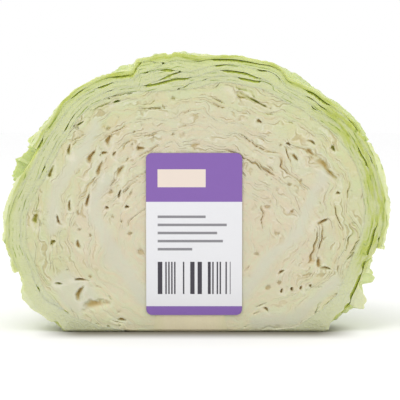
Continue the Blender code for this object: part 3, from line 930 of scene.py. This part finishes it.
def heart_rim(turn, back):
    """Points of the heart's outside, by the turn about the head's depth and the angle back from the cut."""
    direction = np.stack([np.cos(back) * np.cos(turn), np.sin(back), np.cos(back) * np.sin(turn)], axis=1)
    points = head_point(direction, height_under(direction, 0) - settings().head.leaf_gap)
    points[:, 2] = np.maximum(points[:, 2], 0.0)
    return points


def disc_place(flat):
    """A square's points as a share of the radius and a turn, so that its sides become a round rim."""
    u = flat[:, 0] * np.sqrt(1.0 - flat[:, 1] ** 2 / 2.0)
    v = flat[:, 1] * np.sqrt(1.0 - flat[:, 0] ** 2 / 2.0)
    return np.hypot(u, v), np.arctan2(v, u)


def close_back(piece, rings):
    """Extrude the rim of the cut face back over the dome, ring by ring, and close its pole."""
    choose(piece)
    for ring in range(1, rings + 1):
        with edit_mode("DESELECT"):
            bpy.ops.mesh.select_mode(type="EDGE")
            bpy.ops.mesh.select_non_manifold(
                extend=False, use_wire=False, use_multi_face=False, use_verts=False)
            bpy.ops.mesh.extrude_region_move()
        chosen = selected_points(piece)
        points = points_of(piece)
        turn = read_values(piece, "turn")[chosen]
        back = np.full(len(turn), math.pi / 2 * (ring / rings) ** 1.4)
        points[chosen] = heart_rim(turn, np.minimum(back, math.pi / 2 - 0.02))
        move_points(piece, points)
    with edit_mode():
        bpy.ops.mesh.edge_face_add()


def heart_material():
    """Moist pale flesh: nested streaks and creases, smooth ribs, and darker slits and hollows, with painted
    shade in the creases, slits and hollows, painted highlights beside them, and painted light near the foot.
    """
    look = settings().heart
    material, tree, shader = new_material("heart_flesh", 0.15)
    place = object_place(tree)
    lined = attribute(tree, "lined")
    tone, line, beside = streaks(tree, "level", curl=1.7)
    line = line * lined

    share = share_from_tip(place) + (noise_at(place, 45.0) - 0.5) * 0.40
    flesh = mix(share.spread(0.15, 0.55), look.centre, look.middle)
    flesh = mix(share.spread(0.55, 0.92), flesh, look.rim)
    # Painted light: paler flesh towards the table, where less light reaches the cut.
    flesh = mix(split_place(place)[2].spread(0.0, 0.034, 0.6, 0.0), flesh, look.foot)
    pinker = mix(1.0, flesh, paint(255, 248, 240), "MULTIPLY")
    greener = mix(1.0, flesh, paint(250, 255, 245), "MULTIPLY")
    flesh = mix(tone.spread(0.36, 0.64), pinker, greener)
    flesh = mix(attribute(tree, "leaf_tone").spread(-0.8, 0.8, 0.0, 0.2), flesh, look.rib)
    flesh = mix(attribute(tree, "rib") * 0.6, flesh, look.rib)

    # Painted highlight: pale bands beside the creases and round the hollows.
    painted_highlight = (beside * lined * 0.45).or_more(attribute(tree, "pit_rim_highlight") * 0.4)
    flesh = mix(painted_highlight, flesh, look.fold)
    # Painted shade along the fine creases.
    flesh = mix(line * 0.5, flesh, look.crease)
    # Tan near the middle and green near the rim, used as painted shade in the gaps.
    hollow = mix(share.spread(0.70, 0.96), look.hollow, look.green_hollow)
    # Painted shade: the creases and slits take some of the hollows' colour.
    flesh = mix(attribute(tree, "crease_shade").spread(0.25, 1.0, 0.0, 0.4), flesh, hollow)
    flesh, grain = mottled(place, flesh, 0.10)
    # Painted shade: the flesh takes the hollows' colour the deeper it lies behind the cut.
    flesh = mix(behind_cut(place, 0.0004, 0.0024), flesh, hollow)

    crinkle = abs(noise_at(place, 260.0, 2.5, 0.6) - 0.5).spread(0.0, 0.12, 0.0, 0.5)
    height = noise_at(place, 1100.0, 3.0, 0.65) * 0.4 - line + crinkle * lined
    feed(shader, {
        "Base Color": flesh, "Roughness": grain * 0.25 + 0.38, "Normal": bump_on(height, 0.8, 0.0003)})
    return material


# The stalk

def add_stalk_solid(name, grow):
    """The stalk's round solid, drawn up ring by ring from a circle, and made larger by grow."""
    look = settings().stalk
    level = -0.002 if grow else 0.0
    radius = look.radius + grow
    rings = [(look.radius * 0.92, look.height * 0.14), (look.radius * 0.72, look.height * 0.42)]
    for step in range(4, 0, -1):
        turn = math.pi / 2 * step / 4
        drop = look.tip_radius * (1 - math.cos(turn))
        rings.append((look.tip_radius * math.sin(turn), look.height - drop))
    deselect()
    bpy.ops.mesh.primitive_circle_add(
        vertices=72, radius=radius, fill_type="NGON", location=(STALK_OFFSET, 0.0, level))
    piece = start_piece(name)
    bpy.ops.object.transform_apply(location=True, rotation=True, scale=True)
    with edit_mode():
        for ring_radius, ring_level in rings:
            wanted = ring_radius + grow
            wanted_level = ring_level + (grow if ring_level > look.height * 0.5 else 0.0)
            bpy.ops.mesh.extrude_region_move(TRANSFORM_OT_translate={"value": (0, 0, wanted_level - level)})
            bpy.ops.transform.resize(value=(wanted / radius, wanted / radius, 1.0))
            radius, level = wanted, wanted_level
    face_outwards(piece)
    return piece


def stalk_material():
    """Pale pith inside a fibrous ring, with fine fibres that run up the stalk."""
    look = settings().stalk
    material, tree, shader = new_material("stalk_flesh", 0.08)
    place = object_place(tree)
    from_axis = abs(split_place(place)[0] - (HEAD_PLACE.x + STALK_OFFSET))
    flesh = mix(from_axis.spread(look.radius * 0.62, look.radius * 0.95), look.pith, look.bark)
    stretched = add_node(tree, "ShaderNodeMapping", {"Vector": place, "Scale": (1.0, 1.0, 0.12)})
    fibres = noise_at(Field(stretched.outputs[0]), 900.0, 3.0, 0.6)
    flesh = mix(fibres * 0.16, flesh, look.fibre)
    flesh, grain = mottled(place, flesh, 0.10)
    feed(shader, {
        "Base Color": flesh, "Roughness": grain * 0.3 + 0.35, "Normal": bump_on(fibres, 0.35, 0.0004)})
    return material


# The outer leaves

def vein_net(across_mm, along_mm, order):
    """Raised veins from 0 to 1 and the blade's swell from -1 to 1, in mm across and along a leaf."""
    look = settings().leaf
    flat = np.stack([across_mm, along_mm], axis=1)

    def warp(size, seed):
        return np.stack([lattice_noise(flat / size, seed), lattice_noise(flat / size, seed + 10)], axis=1)

    flat = flat + 3.2 * warp(14.0, 40 + order) + 1.1 * warp(5.0, 60 + order)
    spacing = 17.0
    leaning = (flat[:, 1] - 0.95 * np.abs(flat[:, 0]) + 0.0035 * flat[:, 0] ** 2) / spacing
    leaning += 0.5 * (flat[:, 0] > 0)
    to_vein = np.abs(leaning - np.round(leaning)) * spacing * 0.72
    fade = np.clip(1.15 - np.abs(across_mm) / 100.0, 0.2, 1.0)
    side = bell(to_vein, 0.8 + 0.8 * fade) * fade

    large, tone = cell_borders(flat / (look.cell * 1000.0), 80 + order)
    small, _ = cell_borders(flat / (look.small_cell * 1000.0), 90 + order)
    net = 0.62 * bell(large * look.cell * 1000.0, 0.75)
    fine_net = 0.28 * bell(small * look.small_cell * 1000.0, 0.55)
    swell = smoothstep(large / 0.32) * (0.55 + 0.45 * tone) + 0.35 * smoothstep(small / 0.3)
    return np.maximum(np.maximum(side, net), fine_net), swell


def leaf_direction(leaf, across, share):
    """Unit directions from angles across the leaf and shares of its length."""
    along = np.radians(leaf.base) + share * math.radians(leaf.tip - leaf.base) + VEIN_LEAN * np.abs(across)
    outward, sideways = leaf_axes(leaf)
    upright = np.array([0.0, 0.0, 1.0])
    middle = np.outer(np.cos(along), outward) + np.outer(np.sin(along), upright)
    return middle * np.cos(across)[:, None] + np.outer(np.sin(across), sideways)


def margin_noise(first, second, seed):
    return lattice_noise(np.stack([first, np.broadcast_to(second, first.shape)], axis=1), seed)


def margin_place(leaf, order, side, share):
    """A flat grid's angles across the leaf and unit directions, with ragged margins where it is bare."""
    half_width = leaf_half_width(leaf, share)
    even = leaf_direction(leaf, side * half_width, share)
    bare = 1.0 - smoothstep(1.0 + under_outer(even, order) / settings().head.drape)
    which_side = np.sign(side) * 5.0 + order
    ragged = margin_noise(share * 22.0, which_side, 20) + 0.6 * margin_noise(share * 60.0, which_side, 21)
    ripple = 0.035 * np.sin(17.0 * share + order) + 0.018 * ragged - 0.012
    across = side * half_width * (1.0 + bare * ripple * np.abs(side) ** 3)
    end_wave = margin_noise(side * 14.0, order * 3.3, 22) + 0.5 * margin_noise(side * 38.0, order * 3.3, 23)
    near_end = bare * np.abs(2.0 * share - 1.0) ** 12 * np.sign(share - 0.5)
    direction = leaf_direction(leaf, across, share + near_end * 0.011 * (end_wave - 0.7))
    return across, direction, ragged


def lift_beside_cut(direction, behind):
    """How far bare leaves stand out right beside the cut, in torn and crumpled bits and at both sides."""
    look = settings().leaf
    x, z = direction[:, 0], direction[:, 2]
    lumps = lattice_noise(direction * 13.0, 35) + 0.5 * lattice_noise(direction * 29.0, 36) + 0.2
    turn_on_left = np.degrees(np.arctan2(z, -x))
    where = np.maximum(smoothstep((-z - 0.05) / 0.35), bell(turn_on_left, 13.0, 27.0))
    where *= 1.0 + 0.8 * smoothstep((x - 0.3) / 0.3) * smoothstep((-z - 0.1) / 0.3)
    lump = look.lump * where * lumps * (1.0 - smoothstep((behind - 0.004) / 0.012))
    turn = np.degrees(np.arctan2(z, np.abs(x)))
    at_side = bell(turn, 19.0, 16.0) * (1.0 - smoothstep((behind - 0.006) / 0.030))
    return lump + look.side_swell * at_side


def leaf_thickness(leaf, order, direction, behind, pressed, bare):
    """Its pitch under other leaves, less the gaps at the cut, its own blade where bare, and its midrib."""
    head = settings().head
    look = settings().leaf
    inside = leaf_inside(leaf, direction)
    openness = lattice_noise(direction * 7.0 + order * 2.7, 33)
    openness += 0.5 * lattice_noise(direction * 19.0, 34 + order)
    groove = look.groove_width * smoothstep((openness + 0.08) / 0.6)
    groove *= np.clip(1.0 - behind / look.groove_depth, 0.0, 1.0)
    body = leaf_body(inside)
    full = head.pitch * body - head.leaf_gap - groove * smoothstep((body - 0.3) / 0.4)
    thickness = look.blade + (full - look.blade) * pressed
    thickness += leaf_rib(leaf, direction, leaf.rib) + leaf_rib(leaf, direction, leaf.ridge)
    return thickness * (1.0 - 0.6 * bare * (1.0 - smoothstep(inside / 0.006)))


def add_leaf(leaf, order):
    """One leaf: a flat grid bent over the head, extruded to its thickness and cut flat."""
    look = settings().leaf
    head = settings().head
    wide = 2.0 * math.radians(leaf.width) * head.half_width
    tall = math.radians(leaf.tip - leaf.base) * (head.half_width + head.rise) / 2.0
    deselect()
    bpy.ops.mesh.primitive_grid_add(
        x_subdivisions=round(wide / look.step), y_subdivisions=round(tall / look.step), size=2.0)
    piece = start_piece(leaf.name + "_fine")
    flat = points_of(piece)
    side, share = flat[:, 0], (flat[:, 1] + 1.0) / 2.0
    across, direction, ragged = margin_place(leaf, order, side, share)

    under = under_outer(direction, order)
    bare = 1.0 - smoothstep(1.0 + under / head.drape)
    pressed = smoothstep(1.0 + under / look.press_reach)
    behind = direction[:, 1] * head.depth
    from_cut = smoothstep(behind / look.rough_reach)
    rough = 0.45 + 0.55 * from_cut
    across_metres = across * head.half_width
    veins, swell = vein_net(across_metres * 1000.0, share * tall * 1000.0, order)
    midrib = bell(across_metres, 0.0015 + 0.004 * (1.0 - share)) * (1.05 - share)
    veins = np.maximum(veins, midrib)

    flare = leaf.flare * (0.25 + 0.75 * from_cut) * np.abs(side) ** 5
    lift = rough * (look.net_lift + look.dimple * (swell - 0.5))
    lift += flare * (0.65 + 0.35 * np.sin(13.0 * share + 2.0 * order))
    lift += look.margin_wave * np.abs(side) ** 8 * np.sin(47.0 * share + 3.0 * ragged)
    lift = bare * (lift + lift_beside_cut(direction, behind))
    base = height_under(direction, order)
    inner = base + lift * smoothstep((behind - 0.020) / 0.035) - hollow_under(direction, order)
    outer = base + lift + leaf_thickness(leaf, order, direction, behind, pressed, bare)
    outer += look.vein_height * veins * bare * rough

    move_points(piece, head_point(direction, inner))
    write_values(piece, "place", np.arange(len(flat)))
    write_values(piece, "vein", veins)
    write_values(piece, "pale", np.clip(0.85 - share + 0.5 * midrib, 0.0, 1.0))
    with edit_mode("SELECT"):
        bpy.ops.mesh.quads_convert_to_tris(quad_method="FIXED")
        bpy.ops.mesh.extrude_region_move()
    skin = selected_points(piece)
    points = points_of(piece)
    points[skin] = head_point(direction, outer)[np.round(read_values(piece, "place")[skin]).astype(int)]
    move_points(piece, points)
    piece.data.attributes.remove(piece.data.attributes["place"])
    face_outwards(piece)
    cut_flat(piece)
    choose(piece)
    with edit_mode("SELECT"):
        bpy.ops.mesh.quads_convert_to_tris(quad_method="BEAUTY", ngon_method="BEAUTY")

    direction, height = place_on_head(points_of(piece))
    write_values(piece, "level", (height + head.heart_inset) / head.pitch)
    write_values(piece, "around", np.arctan2(direction[:, 0], direction[:, 2]))
    write_values(piece, "below", (height_under(direction, len(LEAVES)) - height) / head.pitch)
    return piece


def cut_edge_colour(tree, place):
    """Colour of a leaf on the knife's plane: pale flesh, a green layer under the skin, and fine lines."""
    look = settings().leaf
    below = attribute(tree, "below")
    turn = attribute(tree, "around")
    away_from_top = abs(turn)
    tone, line, _ = streaks(tree, "below", 1.6)
    edge = mix(attribute(tree, "level").spread(0.5, 5.5), look.cut_edge, look.cut_rim)

    bunch = abs(turn - BUNCH_AROUND).spread(0.06, 0.34, 1.0, 0.0) * below.spread(2.6, 5.2, 1.0, 0.0)
    near_skin = (below - turn.spread(0.7, 1.3, 0.0, 2.2)).spread(0.8, 2.0, 0.9, 0.0)
    near_skin = near_skin * turn.spread(-1.5, -0.7, 0.55, 1.0) * away_from_top.spread(1.75, 2.1, 1.0, 0.15)
    edge = mix(tone.spread(0.40, 0.62, 0.25, 1.0) * near_skin.or_more(bunch), edge, look.lime)
    edge = mix(below.spread(0.15, 0.50, 0.8, 0.0), edge, look.vein)
    edge = mix(away_from_top.spread(1.85, 2.2, 0.0, 0.75), edge, look.foot_edge)
    in_cluster = tone.spread(0.44, 0.58, 0.35, 1.0) * away_from_top.spread(1.75, 2.05, 1.0, 0.1)
    edge = mix(line * in_cluster.or_more(bunch), edge, look.streak)
    return mottled(place, edge, 0.10)[0]


def leaf_material(name, greenness):
    """Leaf with a pale net of veins, pale flesh on the knife's plane and deep green between the leaves."""
    look = settings().leaf
    material, tree, shader = new_material(name, 0.45, 0.45, 0.003)
    place = object_place(tree)
    paleness = attribute(tree, "pale") + (noise_at(place, 38.0, 4.0, 0.6) - 0.5)
    paleness = paleness.math("ADD", paleness, 1.0 - greenness, clamp=True)
    blade = mix(paleness, look.green, look.pale_green)
    cells = add_node(
        tree, "ShaderNodeTexVoronoi", {"Vector": place, "Scale": 420.0}, feature="DISTANCE_TO_EDGE")
    threads = Field(cells.outputs["Distance"]).spread(0.02, 0.16, 1.0, 0.0)
    lines = attribute(tree, "vein").spread(0.25, 0.85).or_more(threads * 0.22)
    blade = mix(lines, blade, look.vein)
    blade, grain = mottled(place, blade, 0.14)

    near_cut = 1.0 - behind_cut(place, 0.0, 0.045)
    blade = mix(near_cut * 0.7, blade, look.pale_green)
    in_gap = (1.0 - behind_cut(place, 0.006, 0.014)) * attribute(tree, "below").spread(0.5, 0.9)
    blade = mix(in_gap, blade, look.shade)
    surface = mix(behind_cut(place, 0.00003, 0.0003), cut_edge_colour(tree, place), blade)
    height = threads * 0.5 + grain * 0.4
    feed(shader, {
        "Base Color": surface, "Roughness": grain * 0.3 + 0.30, "Normal": bump_on(height, 0.5, 0.0004)})
    return material


# The label

def round_corners(at, half, corner):
    """Draw a rectangle's corners in to round ones. Its points and half sizes are taken from its middle."""
    over = np.maximum(np.abs(at) - (half - corner), 0.0)
    reach = np.maximum(np.linalg.norm(over, axis=1), 1e-9)
    square = np.max(over, axis=1)
    return at - np.sign(at) * over * (1.0 - square / reach)[:, None] * (square > 0)[:, None]


def label_material():
    """Coated paper with a printed band, a blank panel, plain bars and plain rules."""
    look = settings().label
    material, tree, shader = new_material("label_paper", 0.0, 0.5)
    place = object_place(tree)
    x, _, z = split_place(place)
    across, up = x - LABEL_LOW.x, z - LABEL_LOW.z
    wide, tall = LABEL_HIGH.x - LABEL_LOW.x, LABEL_HIGH.z - LABEL_LOW.z

    def panel(left, right, low, high):
        """1 inside a rectangle, given as shares of the label's width and height."""
        return across.between(wide * left, wide * right) * up.between(tall * low, tall * high)

    surface = mix(panel(-1.0, 2.0, 0.70, 2.0), look.paper, look.band)
    surface = mix(panel(0.12, 0.62, 0.79, 0.90), surface, look.cream)
    surface = mix(panel(-1.0, 2.0, -1.0, 0.055), surface, look.band)
    bar_number = across.math("DIVIDE", across, look.bar)
    bar_number = bar_number.math("FLOOR", bar_number)
    bars = add_node(tree, "ShaderNodeTexWhiteNoise", {"W": bar_number}, noise_dimensions="1D")
    inked = Field(bars.outputs["Value"]).between(0.48, 2.0)
    surface = mix(inked * panel(0.12, 0.88, 0.13, 0.33), surface, look.ink)
    for low, right in ((0.60, 0.62), (0.55, 0.84), (0.50, 0.74), (0.45, 0.80), (0.40, 0.48)):
        surface = mix(panel(0.12, right, low, low + 0.016) * 0.72, surface, look.ink)
    surface, grain = mottled(place, surface, 0.02)
    feed(shader, {
        "Base Color": surface, "Roughness": grain * 0.12 + 0.30, "Normal": bump_on(grain, 0.08, 0.0002)})
    return material


# The studio

def floor_material():
    """Pale floor, with painted shade that makes it a little greyer beside the cabbage, and a painted contact
    shadow right before the cut.
    """
    look = settings().studio
    material, tree, shader = new_material("pale_floor", 0.0, 0.1)
    place = object_place(tree)
    # Painted shade: the floor greys a little near the cabbage.
    nearness = (length_of(place) + noise_at(place, 6.0) * 0.02).spread(0.085, 0.14, 1.0, 0.0)
    tone = mix(nearness, look.floor, look.near_floor_shade)
    x, y, _ = split_place(place)
    # Painted contact shadow: a dark band on the floor right before the cut, fading under the cabbage.
    band = y.spread(CUT_Y - 0.026, CUT_Y - 0.001) * y.spread(CUT_Y + 0.012, CUT_Y + 0.035, 1.0, 0.0)
    band = band * abs(x - HEAD_PLACE.x).spread(0.058, 0.086, 1.0, 0.0)
    feed(shader, {"Base Color": mix(band, tone, look.contact_shadow), "Roughness": 0.9})
    return material


def add_light(name, power, size, spot):
    """A soft square light that shines on the cabbage."""
    deselect()
    bpy.ops.object.light_add(type="AREA", location=spot)
    light = bpy.context.object
    light.name = name
    light.data.shape = "SQUARE"
    light.data.size = size
    light.data.energy = power
    lit_place = Vector((0.0, 0.0, 0.06))
    light.rotation_euler = (lit_place - Vector(spot)).to_track_quat("-Z", "Y").to_euler()


def add_camera():
    """A camera in front of the cut, looking down a little."""
    look = settings().studio
    sensor = 0.036
    aim = HEAD_PLACE + Vector((look.aim_x, 0.0, look.aim_z))
    away = look.view_width * look.lens / sensor
    spot = aim + Vector((0.0, -math.cos(look.tilt), math.sin(look.tilt))) * away
    deselect()
    bpy.ops.object.camera_add(location=spot, rotation=(math.pi / 2 - look.tilt, 0.0, 0.0))
    camera = bpy.context.object
    camera.name = "camera"
    camera.data.lens = look.lens * 1000.0
    camera.data.sensor_width = sensor * 1000.0
    camera.data.dof.use_dof = False
    bpy.context.scene.camera = camera


class CABBAGE_OT_add_heart(bpy.types.Operator):
    """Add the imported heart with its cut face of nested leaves, gaps and ribs"""

    bl_idname = "cabbage.add_heart"
    bl_label = "Add Heart"

    def execute(self, context):
        look = settings().heart
        head = settings().head
        wide = 2.0 * (head.half_width - head.heart_inset)
        tall = 1.62 * (head.rise - head.heart_inset)
        deselect()
        bpy.ops.mesh.primitive_grid_add(
            x_subdivisions=round(wide / look.step), y_subdivisions=round(tall / look.step), size=2.0)
        piece = start_piece("heart_cut")
        share, turn = disc_place(points_of(piece))
        rim = heart_rim(turn, np.zeros(len(turn)))
        middle = np.array([0.0, 0.0, head.widest_level])
        points = middle + (rim - middle) * share[:, None]
        depth = cut_relief(points[:, 0] * 1000.0, points[:, 2] * 1000.0)[0]
        points[:, 1] = depth / 1000.0 * smoothstep((1.0 - share) / 0.004)
        move_points(piece, points)
        write_values(piece, "turn", turn)
        close_back(piece, rings=14)
        face_outwards(piece)
        cut_with(piece, add_stalk_solid("stalk_socket", settings().stalk.clearance))
        cut_flat(piece, ("edge",))
        apply_modifier(piece, "DECIMATE", ratio=look.faces_kept)
        points = points_of(piece)
        values = cut_relief(points[:, 0] * 1000.0, points[:, 2] * 1000.0)[1]
        for name, value in values.items():
            write_values(piece, name, value)
        finish_piece(piece, heart_material(), "heart", angle=60)
        return {"FINISHED"}


class CABBAGE_OT_add_stalk(bpy.types.Operator):
    """Add the stalk, cut lengthwise and trimmed across"""

    bl_idname = "cabbage.add_stalk"
    bl_label = "Add Stalk"

    def execute(self, context):
        piece = add_stalk_solid("stalk_cut", 0.0)
        cut_flat(piece, ("knife", "edge"))
        finish_piece(piece, stalk_material(), "stalk")
        return {"FINISHED"}


class CABBAGE_OT_add_leaves(bpy.types.Operator):
    """Add the outer leaves, each lying on those inside it"""

    bl_idname = "cabbage.add_leaves"
    bl_label = "Add Leaves"

    def execute(self, context):
        greenness = {"outer_leaf": 1.0, "inner_leaf": 0.55}
        materials = {slot: leaf_material(slot, share) for slot, share in greenness.items()}
        for order, leaf in enumerate(LEAVES):
            piece = add_leaf(leaf, order)
            slot = "inner_leaf" if order < INNER_LEAVES else "outer_leaf"
            finish_piece(piece, materials[slot], leaf.name, angle=50)
        return {"FINISHED"}


class CABBAGE_OT_add_label(bpy.types.Operator):
    """Add the plain paper label that lies on the cut"""

    bl_idname = "cabbage.add_label"
    bl_label = "Add Label"

    def execute(self, context):
        look = settings().label
        low, high = LABEL_LOW - HEAD_PLACE, LABEL_HIGH - HEAD_PLACE
        deselect()
        bpy.ops.mesh.primitive_grid_add(x_subdivisions=48, y_subdivisions=80, size=2.0)
        piece = start_piece("label_paper")
        flat = points_of(piece)
        half = np.array([(high.x - low.x) / 2, (high.z - low.z) / 2])
        at = round_corners(flat[:, :2] * half, half, look.corner)
        wave = lattice_noise(np.stack([flat[:, 0] * 1.4, flat[:, 1] * 2.2], axis=1), 15)
        y = high.y - look.thickness - 0.00008 * (1.0 + wave)
        middle = (low + high) / 2
        move_points(piece, np.stack([middle.x + at[:, 0], y, middle.z + at[:, 1]], axis=1))
        apply_modifier(piece, "SOLIDIFY", thickness=look.thickness, offset=0.0)
        face_outwards(piece)
        finish_piece(piece, label_material(), "label")
        return {"FINISHED"}


class CABBAGE_OT_add_studio(bpy.types.Operator):
    """Add the pale floor, the soft lights and the camera"""

    bl_idname = "cabbage.add_studio"
    bl_label = "Add Studio"

    def execute(self, context):
        look = settings().studio
        deselect()
        bpy.ops.mesh.primitive_plane_add(size=8.0, location=(0.0, 0.0, -0.0002))
        floor = start_piece("floor")
        bpy.ops.object.transform_apply(location=True, rotation=True, scale=True)
        floor.data.materials.append(floor_material())
        add_light("key_light", look.key_power, 0.7, (-0.45, -0.75, 1.25))
        add_light("fill_light", look.fill_power, 0.9, (0.95, -0.75, 0.65))
        add_camera()

        world = bpy.data.worlds.new("white_surroundings")
        world.use_nodes = True
        sky = world.node_tree.nodes["Background"]
        sky.inputs["Color"].default_value = (1.0, 1.0, 1.0, 1.0)
        sky.inputs["Strength"].default_value = look.sky
        context.scene.world = world
        context.scene.view_settings.view_transform = "Standard"
        return {"FINISHED"}


class CABBAGE_PT_panel(bpy.types.Panel):
    """The cabbage's operators and settings"""

    bl_idname = "CABBAGE_PT_panel"
    bl_label = "Half Savoy Cabbage"
    bl_space_type = "VIEW_3D"
    bl_region_type = "UI"
    bl_category = "Cabbage"

    def draw(self, context):
        for operator in OPERATORS:
            self.layout.operator(operator.bl_idname)
        for group in ("head", "leaf", "heart", "stalk", "label", "studio"):
            box = self.layout.box()
            chosen = getattr(context.scene.cabbage, group)
            for name in chosen.__annotations__:
                box.prop(chosen, name)


GROUPS = (HeadSize, LeafLook, HeartLook, StalkLook, LabelLook, StudioLook, CabbageSettings)
OPERATORS = (
    CABBAGE_OT_add_studio,
    CABBAGE_OT_add_heart,
    CABBAGE_OT_add_stalk,
    CABBAGE_OT_add_leaves,
    CABBAGE_OT_add_label,
)


def register():
    for entry in (*GROUPS, *OPERATORS, CABBAGE_PT_panel):
        bpy.utils.register_class(entry)
    bpy.types.Scene.cabbage = bpy.props.PointerProperty(type=CabbageSettings)


def unregister():
    del bpy.types.Scene.cabbage
    for entry in (CABBAGE_PT_panel, *reversed(OPERATORS), *reversed(GROUPS)):
        bpy.utils.unregister_class(entry)


def main():
    register()
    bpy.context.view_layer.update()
    bpy.ops.cabbage.add_studio()
    bpy.ops.cabbage.add_heart()
    bpy.ops.cabbage.add_stalk()
    bpy.ops.cabbage.add_leaves()
    bpy.ops.cabbage.add_label()


if __name__ == "__main__":
    main()
